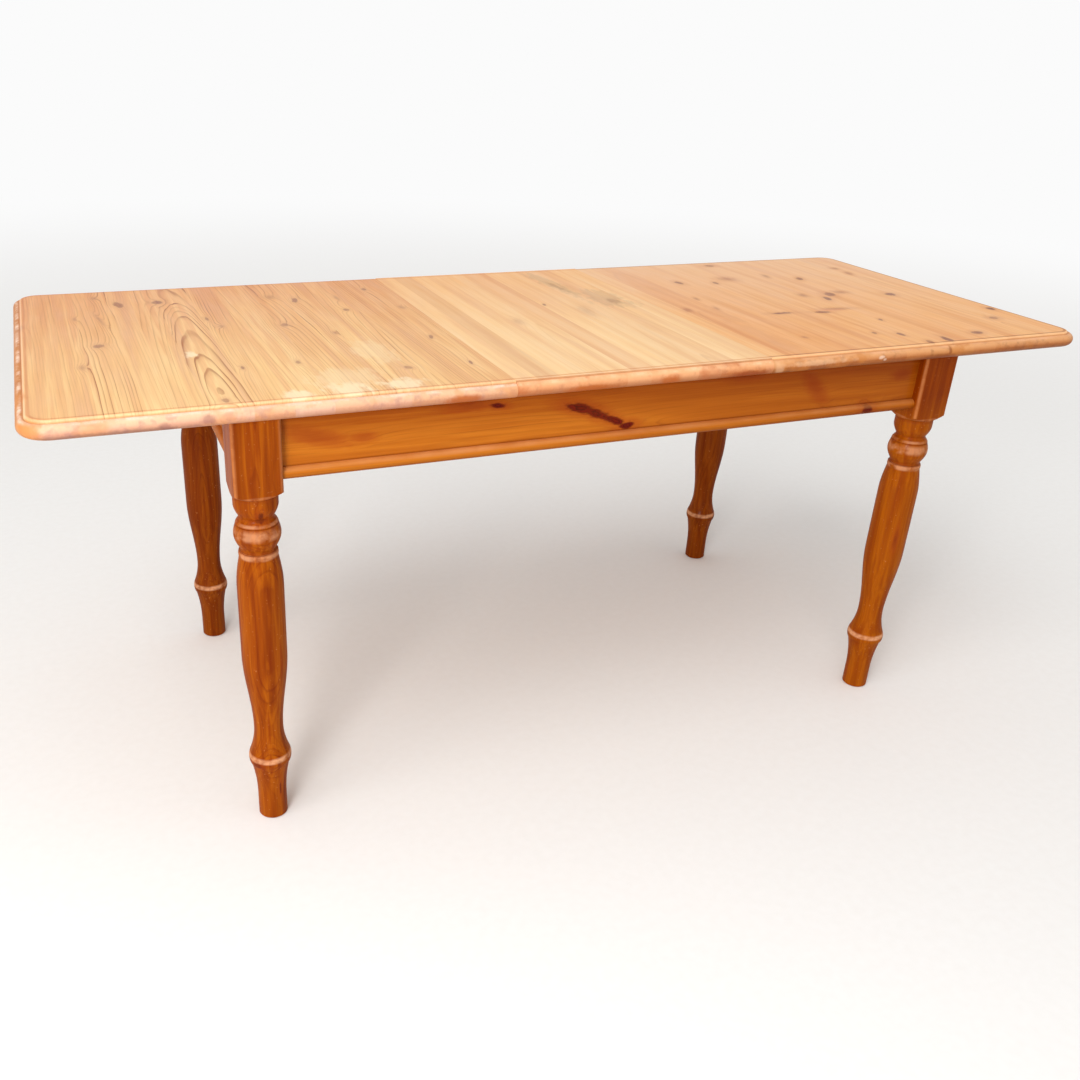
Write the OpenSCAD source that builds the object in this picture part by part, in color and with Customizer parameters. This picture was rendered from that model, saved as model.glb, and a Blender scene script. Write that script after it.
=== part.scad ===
// Extending dining table in pine: turned legs, an aproned frame, two sliding half tops
// and one centre leaf. X runs along the table, Y across it, and Z up from the floor.

/* [Table] */
// Length over the two half tops with the leaf in place
table_l = 1900; // [1700:10:2100]
// Width of the top
table_w = 760; // [720:5:820]
// Height of the top's upper face above the floor
table_h = 765; // [730:5:790]

/* [Top] */
// Thickness of the half tops and of the leaf
top_t = 27; // [24:1:32]
// Length of the leaf between its two joints
leaf_l = 471.4; // [400:1:520]
// Gap at each joint beside the leaf
joint_gap = 0.3; // [0.2:0.1:1]
// Radius of the outer corners in plan
corner_r = 45; // [32:1:60]
// Width of the flat face's moulded border on the half tops
border_w = 16; // [14:0.5:20]
// Drop from the flat face to the nosing on the half tops
border_drop = 4; // [2:0.5:6]
// Depth of the fine quirk beside the nosing
quirk = 0.8; // [0.4:0.1:1.5]
// Width of the moulded border on the leaf
leaf_border_w = 10; // [8:0.5:13]
// Drop from the flat face to the nosing on the leaf
leaf_drop = 1.8; // [1:0.1:3]

/* [Legs] */
// Side of the square leg block
leg_block = 74; // [66:1:80]
// Overhang of the top past the leg faces at the ends of the table
end_overhang = 279; // [240:1:320]
// Overhang of the top past the leg faces at the sides of the table
side_overhang = 25; // [18:1:34]
// Height of the block from the cup below it to the underside of the top
block_h = 134; // [124:1:150]
// Height over which the block's sloped shoulders run out to its corners
shoulder_h = 12; // [6:1:24]
// Flat on the outer arrises of the leg block
arris = 3; // [1:0.5:6]
// Flat on the inner arris, which the brace meets
inner_arris = 11; // [8:0.5:14]
// Radius of the foot
foot_r = 24.4; // [20:0.2:28]

/* [Aprons] */
// Height of the apron boards
apron_h = 106; // [90:1:120]
// Thickness of the apron boards
apron_t = 22; // [18:1:25]
// Set-back of the apron faces behind the leg faces
setback = 18; // [12:1:20]
// Radius of the half-round bead along the lower edge
bead_r = 9.5; // [6:0.5:11]
// Thickness of the apron tenons
tenon_t = 10; // [8:1:12]
// Length of the apron tenons
tenon_l = 15; // [8:1:16]
// Distance from the apron's edges to its tenon
tenon_margin = 14; // [8:1:20]

/* [Braces] */
// Thickness of the corner braces
brace_t = 22; // [18:1:26]
// Distance from the apron's lower edge to the brace
brace_up = 14; // [10:1:18]
// Distance from the brace to the underside of the top
brace_drop = 12; // [8:1:18]
// Spacing of the two hanger bolts in a brace
bolt_pitch = 40; // [30:1:44]
// Diameter of the hanger bolts
bolt_d = 8; // [6:0.5:9]
// Depth of a hanger bolt in its leg
bolt_grip = 36; // [30:1:38]
// Length of thread past the nut
bolt_tail = 4; // [2:0.5:8]
// Diameter of the washers
washer_d = 22; // [18:1:24]
// Thickness of the washers
washer_t = 2; // [1.5:0.1:3]
// Size of the nuts across their flats
nut_af = 13; // [12:0.5:15]
// Height of the nuts
nut_h = 6.5; // [5:0.5:8]
// Spacing of the two screws at each end of a brace
brace_screw_pitch = 34; // [24:1:44]

/* [Slides] */
// Width of the centre cross rail
centre_rail_w = 30; // [24:1:34]
// Width of the outer cross rails
outer_rail_w = 22; // [18:1:26]
// Play between the stop pegs and the outer cross rails with the halves closed up
closed_play = 12.6; // [2:0.2:24]
// Drop from the underside of the top to the cross rails
rail_drop = 36; // [34:1:40]
// Distance from the apron's lower edge to the cross rails
rail_up = 10; // [6:1:18]
// Side of the glue blocks at the rail ends
glue_block = 28; // [20:1:32]
// Length of the guide rails past the middles of the outer cross rails
guide_past = 55; // [30:5:80]
// Distance from the leg axes in to the guide rails' centre lines
guide_inset = 140.5; // [134:0.5:150]
// Thickness of the guide rails
guide_t = 25; // [24:1:28]
// Gap between the guide rails and the underside of the top
guide_gap = 4; // [2:0.5:6]
// Height of the grooves in the guide rails
groove_h = 9; // [7:0.5:11]
// Depth of the grooves in the guide rails
groove_d = 7; // [5:0.5:7.5]
// Thickness of the runners
runner_t = 24; // [20:1:28]
// Play between the runners and the end aprons with the halves fully apart
runner_play = 6; // [3:0.5:20]
// Length of the runners past their stop pegs
runner_past = 9.6; // [8:0.2:20]
// Gap between the runners and the cross rails
runner_gap = 2; // [1:0.5:4]
// Sliding clearance between the runners and the guide rails
slide_clear = 0.4; // [0.3:0.1:0.8]
// Travel of each half top away from the leaf
travel = 60; // [40:1:64]
// Diameter of the stop pegs
stop_d = 10; // [8:0.5:12]
// Length of the stop pegs below the runners
stop_drop = 14; // [10:1:20]
// Depth of the stop pegs in the runners
stop_grip = 20; // [12:1:24]

/* [Joints] */
// Diameter of the locating pegs in the joints
peg_d = 8; // [6:0.5:10]
// Length of the locating pegs that shows
peg_out = 12; // [8:1:16]
// Depth of the locating pegs in the half tops
peg_grip = 22; // [16:1:30]
// Distance from the table's sides to the outer locating pegs
peg_inset = 120; // [80:5:160]
// Clearance of the leaf's slots round the pegs
slot_clear = 0.5; // [0.3:0.1:1]

/* [Leaf battens] */
// Gap between the leaf battens and the outer runners
batten_gap = 20.6; // [4:0.2:30]
// Width of the leaf battens
batten_w = 60; // [40:1:64]
// Thickness of the leaf battens
batten_t = 22; // [18:1:26]
// Distance from the joints to the leaf battens' ends
batten_inset = 34; // [20:1:60]

/* [Screws] */
// Diameter of the screw shanks
screw_d = 4.5; // [3.5:0.1:5]
// Diameter of the screw heads
screw_head_d = 8.6; // [7:0.1:9.5]
// Length of the runner screws
runner_screw_l = 50; // [42:1:54]
// Length of the guide screws
guide_screw_l = 55; // [45:1:60]
// Length of the leaf batten screws
batten_screw_l = 36; // [30:1:40]
// Length of the brace screws
brace_screw_l = 24; // [18:1:26]
// Clearance of bolts, screws, pegs and tenons in their holes
fit_clear = 0.1; // [0.05:0.05:0.3]

/* [Hidden] */

pine = "#c98344";
pine_top = "#ecbf8e";
pine_leaf = "#f4d09c";
pine_dark = "#b9602a";
beech = "#d9a877";
steel = "#a8abad";

// Length by which cuts run past the faces that they leave
over = 1;
// Facets of the true circles
round_fn = 48;
// Points along each curved stretch of the legs, and along a quarter circle of the top's edge
arc_steps = 8;
quarter_steps = 5;

// Heights that the frame gives
top_z = table_h - top_t;
apron_z = top_z - apron_h;
rail_top = top_z - rail_drop;
tenon_h = apron_h - 2 * tenon_margin;
brace_h = apron_h - brace_up - brace_drop;
rail_h = apron_h - rail_up - rail_drop;
turned_h = top_z - block_h;

// Places of the leg axes, and of the faces of the legs and aprons
half_block = leg_block / 2;
leg_x = table_l / 2 - end_overhang - half_block;
leg_y = table_w / 2 - side_overhang - half_block;
apron_out = half_block - setback;
apron_in = apron_out - apron_t;
apron_x = leg_x + apron_in;
apron_y = leg_y + apron_in;
apron_half_x = leg_x - half_block;
apron_half_y = leg_y - half_block;

// Outline of the leg: heights as shares of the turned height, radii of half the block
foot_top_share = 0.0745;
ring_low_share = 0.187;
ring_high_share = 0.2185;
waist_share = 0.301;
belly_low_share = 0.538;
belly_high_share = 0.738;
collar_share = 0.816;
neck_share = 0.832;
bead_low_share = 0.853;
bead_high_share = 0.917;
fillet_share = 0.925;
cove_share = 0.943;
cup_share = 0.977;
flare_r_share = 0.886;
ring_foot_r_share = 0.92;
ring_r_share = 0.965;
waist_r_share = 0.657;
belly_r_share = 0.992;
collar_r_share = 0.8;
collar_peak_r_share = 0.825;
neck_r_share = 0.745;
bead_foot_r_share = 0.765;
bead_r_share = 0.985;
fillet_r_share = 0.85;
cove_r_share = 0.72;
cup_foot_r_share = 0.735;
cup_r_share = 0.927;
// Rounding at the floor edge of the foot
foot_edge = 2;
// Radius past the block's corners, where the turning leaves the square alone
clear_of_block = half_block * sqrt(2) + over;

// Hanger bolts and braces, measured along the diagonal from the leg's axis
arris_at = half_block * sqrt(2) - inner_arris / sqrt(2);
brace_back = arris_at + brace_t;
nut_at = brace_back + washer_t;
bolt_end = nut_at + nut_h + bolt_tail;
brace_mid_z = apron_z + brace_up + brace_h / 2;
// Height of a brace screw's head above the apron face
screw_seat = 8;
// Play of the bolts in the braces and washers
bolt_play = 0.5;
// Place of the brace screws along the apron, from the leg's axis
brace_screw_at = sqrt(2) * (arris_at + brace_back) / 2 + apron_in;

// Runners, guides and rails
guide_z = rail_top;
guide_h = rail_drop - guide_gap;
groove_z = guide_z + guide_h / 2;
runner_z = rail_top + runner_gap;
runner_h = rail_drop - runner_gap;
tongue_h = groove_h - 2 * slide_clear;
tongue_d = groove_d - slide_clear;
guide_y = leg_y - guide_inset;
runner_outer_y = guide_y + guide_t / 2 + slide_clear + runner_t / 2;
runner_inner_y = guide_y - guide_t / 2 - slide_clear - runner_t / 2;
stop_x = centre_rail_w / 2 + travel + stop_d / 2 + slide_clear;
runner_reach = stop_x + stop_d / 2 + runner_past;
runner_out_end = apron_x - travel - runner_play;
runner_l = runner_reach + runner_out_end;
// Shares of the runner's length under its half top at which the screws stand
runner_screw_shares = [0.1, 0.5, 0.9];
// Shares of the batten's half length at which the screws stand
batten_screw_shares = [-0.85, 0, 0.85];

// Joints, locating pegs and leaf battens, and the rails that the closed halves' stops clear
joint_x = leaf_l / 2 + joint_gap;
peg_z = table_h - top_t / 2;
peg_pitch = table_w / 2 - peg_inset;
batten_half = leaf_l / 2 - batten_inset;
batten_y = runner_outer_y + runner_t / 2 + batten_gap + batten_w / 2;
outer_rail_x = stop_x + joint_x + stop_d / 2 + closed_play + outer_rail_w / 2;
guide_half = outer_rail_x + guide_past;
rail_xs = [-outer_rail_x, 0, outer_rail_x];

// Shares of the head's diameter and height that a screw's slot takes
slot_share = 0.16;
slot_deep_share = 0.5;
// Share of the shank's diameter at a screw's point
point_share = 0.2;
// Share of a pin's diameter that its end chamfers take
chamfer_share = 0.1;
// Share of a glue block's side that its cut corner leaves
glue_cut_share = 0.35;

corners = [[-1, -1], [1, -1], [-1, 1], [1, 1]];

// A quarter of a circle or less as points, from one angle to another
function arc(cx, cy, r, from, to) =
    [for (i = [0 : quarter_steps]) let (a = from + (to - from) * i / quarter_steps)
        [cx + r * cos(a), cy + r * sin(a)]];

// Stretches of the leg's outline, as [radius, height] points: z0 and z1 are shares
function eased(z0, z1, r0, r1) =
    [for (i = [0 : arc_steps]) let (t = i / arc_steps)
        [half_block * (r0 + (r1 - r0) * (1 - cos(180 * t)) / 2), turned_h * (z0 + (z1 - z0) * t)]];
function swept_out(z0, z1, r0, r1) =
    [for (i = [0 : arc_steps]) let (t = i / arc_steps)
        [half_block * (r0 + (r1 - r0) * t * t), turned_h * (z0 + (z1 - z0) * t)]];
function swept_in(z0, z1, r0, r1) =
    [for (i = [0 : arc_steps]) let (t = i / arc_steps)
        [half_block * (r1 + (r0 - r1) * (1 - t) * (1 - t)), turned_h * (z0 + (z1 - z0) * t)]];
function swollen(z0, z1, r0, r1) =
    [for (i = [0 : arc_steps]) let (t = i / arc_steps)
        [half_block * (r0 + (r1 - r0) * sin(90 * t)), turned_h * (z0 + (z1 - z0) * t)]];
function rounded_off(z0, z1, r0, r1) =
    [for (i = [0 : arc_steps]) let (t = i / arc_steps)
        [half_block * (r1 + (r0 - r1) * cos(90 * t)), turned_h * (z0 + (z1 - z0) * t)]];
// A bead between two heights, round from its foot radius to its peak and back
function beaded(z0, z1, foot, peak) =
    let (half = turned_h * (z1 - z0) / 2, rise = half_block * (peak - foot))
    let (r = (half * half + rise * rise) / (2 * rise), mid = turned_h * (z0 + z1) / 2)
    let (sweep = asin(half / r))
    [for (i = [0 : arc_steps]) let (a = sweep * (2 * i / arc_steps - 1))
        [half_block * peak - r + r * cos(a), mid + r * sin(a)]];

leg_outline = concat(
    [[0, 0], [foot_r - foot_edge, 0], [foot_r, foot_edge], [foot_r, turned_h * foot_top_share]],
    swept_out(foot_top_share, ring_low_share, foot_r / half_block, flare_r_share),
    beaded(ring_low_share, ring_high_share, ring_foot_r_share, ring_r_share),
    swept_in(ring_high_share, waist_share, ring_foot_r_share, waist_r_share),
    eased(waist_share, belly_low_share, waist_r_share, belly_r_share),
    rounded_off(belly_high_share, collar_share, belly_r_share, collar_r_share),
    beaded(collar_share, neck_share, collar_r_share, collar_peak_r_share),
    [for (z = [neck_share, bead_low_share]) [half_block * neck_r_share, turned_h * z]],
    beaded(bead_low_share, bead_high_share, bead_foot_r_share, bead_r_share),
    [[half_block * fillet_r_share, turned_h * bead_high_share]],
    swept_in(fillet_share, cove_share, fillet_r_share, cove_r_share),
    swollen(cove_share, cup_share, cup_foot_r_share, cup_r_share),
    [[half_block * cup_r_share, turned_h], [clear_of_block, turned_h + shoulder_h],
        [clear_of_block, top_z], [0, top_z]]);

// Sections of the top's edges, out from the inner side of the corner's sweep: a half-round
// nosing, then a quirk and a rounded drop on the half tops, or a plain step on the leaf
quirk_angle = 12;
half_nose_r = (top_t - border_drop) / 2;
leaf_nose_r = (top_t - leaf_drop) / 2;
half_section = concat(
    [[0, 0]],
    arc(corner_r - half_nose_r, half_nose_r, half_nose_r, -90, 0),
    arc(corner_r - half_nose_r, half_nose_r, half_nose_r, 0, 90 - quirk_angle),
    [[corner_r - border_w + border_drop, top_t - border_drop - quirk]],
    arc(corner_r - border_w, top_t - border_drop, border_drop, 0, 90),
    [[0, top_t]]);
leaf_section = concat(
    [[0, 0]],
    arc(corner_r - leaf_nose_r, leaf_nose_r, leaf_nose_r, -90, 0),
    arc(corner_r - leaf_nose_r, leaf_nose_r, leaf_nose_r, 0,
        acos((leaf_nose_r - leaf_border_w) / leaf_nose_r)),
    [[corner_r - leaf_border_w, top_t], [0, top_t]]);

// A pin along Z with chamfered ends
module dowel(d, l) {
    chamfer = d * chamfer_share;
    rotate_extrude($fn = round_fn)
        polygon([[0, 0], [d / 2 - chamfer, 0], [d / 2, chamfer], [d / 2, l - chamfer],
            [d / 2 - chamfer, l], [0, l]]);
}

// A countersunk screw that points down, with its head's face at zero
module screw(l) {
    head_h = (screw_head_d - screw_d) / 2;
    difference() {
        rotate_extrude($fn = round_fn)
            polygon([[0, -l], [screw_d * point_share, -l], [screw_d / 2, -l + screw_d],
                [screw_d / 2, -head_h], [screw_head_d / 2, 0], [0, 0]]);
        translate([0, 0, (over - head_h * slot_deep_share) / 2])
            cube([screw_head_d + over, screw_head_d * slot_share, head_h * slot_deep_share + over],
                center = true);
    }
}

// The hole for that screw, open past its head by the given length
module screw_hole(l, open) {
    head_h = (screw_head_d - screw_d) / 2;
    shank_r = screw_d / 2 + fit_clear;
    head_r = screw_head_d / 2 + fit_clear;
    rotate_extrude($fn = round_fn)
        polygon([[0, -l - fit_clear], [shank_r, -l - fit_clear], [shank_r, -head_h],
            [head_r, 0], [head_r, open], [0, open]]);
}

// Turns what is drawn for the low side of an axis over to the side asked for
module to_side(side, axis) {
    if (side > 0) mirror(axis) children();
    else children();
}

// Places what is drawn round a leg's axis, with X and Y running in under the table
module at_corner(side) {
    to_side(side[0], [1, 0, 0]) to_side(side[1], [0, 1, 0])
        translate([-leg_x, -leg_y, 0]) children();
}

// What stands square to a brace: along the diagonal, at both bolt heights
module at_bolts() {
    for (z = [-bolt_pitch, bolt_pitch] / 2)
        translate([0, 0, brace_mid_z + z]) rotate([0, 90, 45]) children();
}

// The four screws of a brace, driven square into the two aprons
module at_brace_screws() {
    for (z = [-brace_screw_pitch, brace_screw_pitch] / 2) {
        translate([brace_screw_at, screw_seat - apron_in, brace_mid_z + z])
            rotate([-90, 0, 0]) children();
        translate([screw_seat - apron_in, brace_screw_at, brace_mid_z + z])
            rotate([0, 90, 0]) children();
    }
}

module leg(side) {
    b = half_block;
    c = arris;
    i = inner_arris;
    tenon_hole = tenon_t + 2 * fit_clear;
    mortise_l = tenon_l + fit_clear;
    mortise_at = [b - mortise_l, (apron_t - tenon_hole) / 2 - apron_out];
    mortise_z = apron_z + tenon_margin - fit_clear;
    color(pine_dark) at_corner(side) difference() {
        intersection() {
            rotate_extrude($fn = round_fn) polygon(leg_outline);
            translate([0, 0, -over]) linear_extrude(top_z + 2 * over)
                polygon([[-b, -b + c], [-b + c, -b], [b - c, -b], [b, -b + c], [b, b - i],
                    [b - i, b], [-b + c, b], [-b, b - c]]);
        }
        translate([mortise_at[0], mortise_at[1], mortise_z])
            cube([mortise_l + over, tenon_hole, tenon_h + 2 * fit_clear]);
        translate([mortise_at[1], mortise_at[0], mortise_z])
            cube([tenon_hole, mortise_l + over, tenon_h + 2 * fit_clear]);
        at_bolts() translate([0, 0, arris_at - bolt_grip - fit_clear])
            cylinder(r = bolt_d / 2 + fit_clear, h = bolt_grip + fit_clear + over, $fn = round_fn);
    }
}

module leg_front_left() leg([-1, -1]);
module leg_front_right() leg([1, -1]);
module leg_back_left() leg([-1, 1]);
module leg_back_right() leg([1, 1]);

// An apron along X with its outer face towards -Y, and its tenons
module apron(half_l) {
    translate([-half_l, -apron_t, apron_z]) cube([2 * half_l, apron_t, apron_h]);
    translate([-half_l - tenon_l, -(apron_t + tenon_t) / 2, apron_z + tenon_margin])
        cube([2 * (half_l + tenon_l), tenon_t, tenon_h]);
}

// The half-round bead that lies on that apron's outer face
module bead(half_l) {
    translate([-half_l, -apron_t, apron_z + bead_r]) rotate([90, 0, 90])
        linear_extrude(2 * half_l) intersection() {
            circle(r = bead_r, $fn = round_fn);
            translate([-bead_r - over, -bead_r - over]) square([bead_r + over, 2 * (bead_r + over)]);
        }
}

// Places a board drawn for the front along the long or the end side asked for
module on_long(side) to_side(side, [0, 1, 0]) translate([0, -apron_y, 0]) children();
module on_end(side) rotate([0, 0, 90 * side]) translate([0, -apron_x, 0]) children();

module apron_long(side) {
    color(pine_dark) difference() {
        on_long(side) apron(apron_half_x);
        for (x = [-1, 1]) at_corner([x, side]) at_brace_screws() screw_hole(brace_screw_l, over);
    }
}

module apron_end(side) {
    color(pine_dark) difference() {
        on_end(side) apron(apron_half_y);
        for (y = [-1, 1]) at_corner([side, y]) at_brace_screws() screw_hole(brace_screw_l, over);
    }
}

module apron_front() apron_long(-1);
module apron_back() apron_long(1);
module apron_left() apron_end(-1);
module apron_right() apron_end(1);

module bead_front() color(pine_dark) on_long(-1) bead(apron_half_x);
module bead_back() color(pine_dark) on_long(1) bead(apron_half_x);
module bead_left() color(pine_dark) on_end(-1) bead(apron_half_y);
module bead_right() color(pine_dark) on_end(1) bead(apron_half_y);

// A brace across a corner, flat against the leg's inner arris and both aprons
module brace(side) {
    near = sqrt(2) * arris_at + apron_in;
    far = sqrt(2) * brace_back + apron_in;
    color(pine) at_corner(side) difference() {
        translate([0, 0, apron_z + brace_up]) linear_extrude(brace_h)
            polygon([[near, -apron_in], [far, -apron_in], [-apron_in, far], [-apron_in, near]]);
        at_bolts() translate([0, 0, arris_at - over])
            cylinder(r = bolt_d / 2 + bolt_play, h = brace_t + 2 * over, $fn = round_fn);
        at_brace_screws() screw_hole(brace_screw_l, brace_t);
    }
}

module brace_front_left() brace([-1, -1]);
module brace_front_right() brace([1, -1]);
module brace_back_left() brace([-1, 1]);
module brace_back_right() brace([1, 1]);

module hanger_bolts() {
    r = bolt_d / 2;
    chamfer = bolt_d * chamfer_share;
    foot = arris_at - bolt_grip;
    color(steel) for (side = corners) at_corner(side) at_bolts()
        rotate_extrude($fn = round_fn)
            polygon([[0, foot], [bolt_d * point_share, foot], [r, foot + bolt_d],
                [r, bolt_end - chamfer], [r - chamfer, bolt_end], [0, bolt_end]]);
}

module bolt_washers() {
    color(steel) for (side = corners) at_corner(side) at_bolts()
        translate([0, 0, brace_back]) difference() {
            cylinder(d = washer_d, h = washer_t, $fn = round_fn);
            translate([0, 0, -over])
                cylinder(r = bolt_d / 2 + bolt_play, h = washer_t + 2 * over, $fn = round_fn);
        }
}

module bolt_nuts() {
    color(steel) for (side = corners) at_corner(side) at_bolts()
        translate([0, 0, nut_at]) difference() {
            cylinder(d = nut_af / cos(30), h = nut_h, $fn = 6);
            translate([0, 0, -over])
                cylinder(r = bolt_d / 2 + fit_clear, h = nut_h + 2 * over, $fn = round_fn);
        }
}

module brace_screws() {
    color(steel) for (side = corners) at_corner(side) at_brace_screws() screw(brace_screw_l);
}

// A rail across the frame, with pilot holes for the guide screws above it
module cross_rail(x, w) {
    color(pine) difference() {
        translate([x - w / 2, -apron_y, rail_top - rail_h]) cube([w, 2 * apron_y, rail_h]);
        at_guide_screws([x]) screw_hole(guide_screw_l, over);
    }
}

module at_guide_screws(xs) {
    for (x = xs, y = [-guide_y, guide_y]) translate([x, y, guide_z + guide_h]) children();
}

module cross_rail_left() cross_rail(-outer_rail_x, outer_rail_w);
module cross_rail_centre() cross_rail(0, centre_rail_w);
module cross_rail_right() cross_rail(outer_rail_x, outer_rail_w);

// Blocks glued in the corners between the rails and the long aprons
module rail_glue_blocks() {
    g = glue_block;
    cut = g * glue_cut_share;
    faces = [outer_rail_w / 2 - outer_rail_x, centre_rail_w / 2, outer_rail_x + outer_rail_w / 2];
    color(pine) for (x = faces, side = [-1, 1])
        to_side(side, [0, 1, 0]) translate([x, -apron_y, rail_top - rail_h])
            linear_extrude(rail_h) polygon([[0, 0], [g, 0], [g, cut], [cut, g], [0, g]]);
}

// A guide rail with a groove along each side
module guide_rail(side) {
    color(beech) difference() {
        translate([-guide_half, side * guide_y - guide_t / 2, guide_z])
            cube([2 * guide_half, guide_t, guide_h]);
        for (face = [-1, 1])
            translate([-guide_half - over, side * guide_y + face * guide_t / 2 - groove_d,
                groove_z - groove_h / 2])
                cube([2 * (guide_half + over), 2 * groove_d, groove_h]);
        at_guide_screws(rail_xs) screw_hole(guide_screw_l, over);
    }
}

module guide_rail_front() guide_rail(-1);
module guide_rail_back() guide_rail(1);

module guide_screws() color(steel) at_guide_screws(rail_xs) screw(guide_screw_l);

// Parts of the right half, drawn on its own side of the table; the left half mirrors them
module to_left() mirror([1, 0, 0]) children();

module edge_along_x(section, from, to) {
    for (side = [-1, 1])
        to_side(-side, [0, 1, 0]) translate([from, table_w / 2 - corner_r, top_z])
            rotate([90, 0, 90]) linear_extrude(to - from) polygon(section);
}

module half_top() {
    inner_x = table_l / 2 - corner_r;
    inner_y = table_w / 2 - corner_r;
    difference() {
        union() {
            translate([joint_x, -inner_y, top_z]) cube([inner_x - joint_x, 2 * inner_y, top_t]);
            edge_along_x(half_section, joint_x, inner_x);
            translate([inner_x, inner_y, top_z]) rotate([90, 0, 0])
                linear_extrude(2 * inner_y) polygon(half_section);
            for (y = [-1, 1])
                to_side(-y, [0, 1, 0]) translate([inner_x, inner_y, top_z])
                    rotate_extrude(angle = 90, $fn = round_fn) polygon(half_section);
        }
        at_joint_pegs() translate([0, 0, peg_out])
            cylinder(r = peg_d / 2 + fit_clear, h = peg_grip + fit_clear, $fn = round_fn);
        for (y = [runner_outer_y, runner_inner_y]) at_runner_screws(y) screw_hole(runner_screw_l, over);
    }
}

module at_joint_pegs() {
    for (y = [-peg_pitch, 0, peg_pitch])
        translate([joint_x - peg_out, y, peg_z]) rotate([0, 90, 0]) children();
}

// Screws up through the runners at one distance from the middle
module at_runner_screws(y) {
    for (share = runner_screw_shares, side = [-1, 1])
        translate([joint_x + share * (runner_out_end - joint_x), side * y, runner_z])
            rotate([180, 0, 0]) children();
}

module stop_pegs(y) {
    for (side = [-1, 1])
        translate([-stop_x, side * y, runner_z - stop_drop]) dowel(stop_d, stop_drop + stop_grip);
}

// A runner with its tongue on the side of the guide rail, that way being 1 or -1 across
module runner(side, y, way) {
    tongue_w = runner_t / 2 + slide_clear + tongue_d;
    color(beech) difference() {
        union() {
            translate([-runner_reach, side * y - runner_t / 2, runner_z])
                cube([runner_l, runner_t, runner_h]);
            translate([-runner_reach, side * y + (way - 1) * tongue_w / 2, groove_z - tongue_h / 2])
                cube([runner_l, tongue_w, tongue_h]);
        }
        at_runner_screws(y) screw_hole(runner_screw_l, over);
        translate([-stop_x, side * y, runner_z - over])
            cylinder(r = stop_d / 2 + fit_clear, h = stop_grip + over + fit_clear, $fn = round_fn);
    }
}

module half_top_left() color(pine_top) to_left() half_top();
module runner_left_front() to_left() runner(-1, runner_outer_y, 1);
module runner_left_back() to_left() runner(1, runner_outer_y, -1);
module runner_screws_left() color(steel) to_left() at_runner_screws(runner_outer_y) screw(runner_screw_l);
module stop_pegs_left() color(beech) to_left() stop_pegs(runner_outer_y);
module joint_pegs_left() color(beech) to_left() at_joint_pegs() dowel(peg_d, peg_out + peg_grip);

module half_top_right() color(pine_top) half_top();
module runner_right_front() runner(-1, runner_inner_y, -1);
module runner_right_back() runner(1, runner_inner_y, 1);
module runner_screws_right() color(steel) at_runner_screws(runner_inner_y) screw(runner_screw_l);
module stop_pegs_right() color(beech) stop_pegs(runner_inner_y);
module joint_pegs_right() color(beech) at_joint_pegs() dowel(peg_d, peg_out + peg_grip);

// The leaf, with slots that are open below so that it drops on to the pegs
module leaf_panel() {
    inner_y = table_w / 2 - corner_r;
    slot_w = peg_d + 2 * slot_clear;
    slot_l = peg_out - joint_gap + slot_clear;
    slot_h = peg_z + slot_w / 2 - top_z;
    color(pine_leaf) difference() {
        union() {
            translate([-leaf_l / 2, -inner_y, top_z]) cube([leaf_l, 2 * inner_y, top_t]);
            edge_along_x(leaf_section, -leaf_l / 2, leaf_l / 2);
        }
        for (x = [-1, 1], y = [-peg_pitch, 0, peg_pitch])
            to_side(-x, [1, 0, 0]) translate([leaf_l / 2 - slot_l, y - slot_w / 2, top_z - over])
                cube([slot_l + over, slot_w, slot_h + over]);
        for (side = [-1, 1]) at_batten_screws(side) screw_hole(batten_screw_l, over);
    }
}

module at_batten_screws(side) {
    for (share = batten_screw_shares)
        translate([share * batten_half, side * batten_y, top_z - batten_t])
            rotate([180, 0, 0]) children();
}

module leaf_batten(side) {
    color(pine) difference() {
        translate([-batten_half, side * batten_y - batten_w / 2, top_z - batten_t])
            cube([2 * batten_half, batten_w, batten_t]);
        at_batten_screws(side) screw_hole(batten_screw_l, over);
    }
}

module leaf_batten_front() leaf_batten(-1);
module leaf_batten_back() leaf_batten(1);
module leaf_batten_screws() color(steel) for (side = [-1, 1]) at_batten_screws(side) screw(batten_screw_l);

leg_front_left();
leg_front_right();
leg_back_left();
leg_back_right();
apron_front();
apron_back();
apron_left();
apron_right();
bead_front();
bead_back();
bead_left();
bead_right();
brace_front_left();
brace_front_right();
brace_back_left();
brace_back_right();
hanger_bolts();
bolt_washers();
bolt_nuts();
brace_screws();
cross_rail_left();
cross_rail_centre();
cross_rail_right();
rail_glue_blocks();
guide_rail_front();
guide_rail_back();
guide_screws();
half_top_left();
runner_left_front();
runner_left_back();
runner_screws_left();
stop_pegs_left();
joint_pegs_left();
half_top_right();
runner_right_front();
runner_right_back();
runner_screws_right();
stop_pegs_right();
joint_pegs_right();
leaf_panel();
leaf_batten_front();
leaf_batten_back();
leaf_batten_screws();
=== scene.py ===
from functools import partial
from math import acos, asin, cos, degrees, pi, radians, sin

import bmesh
import bpy
from mathutils import Matrix, Vector


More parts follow.
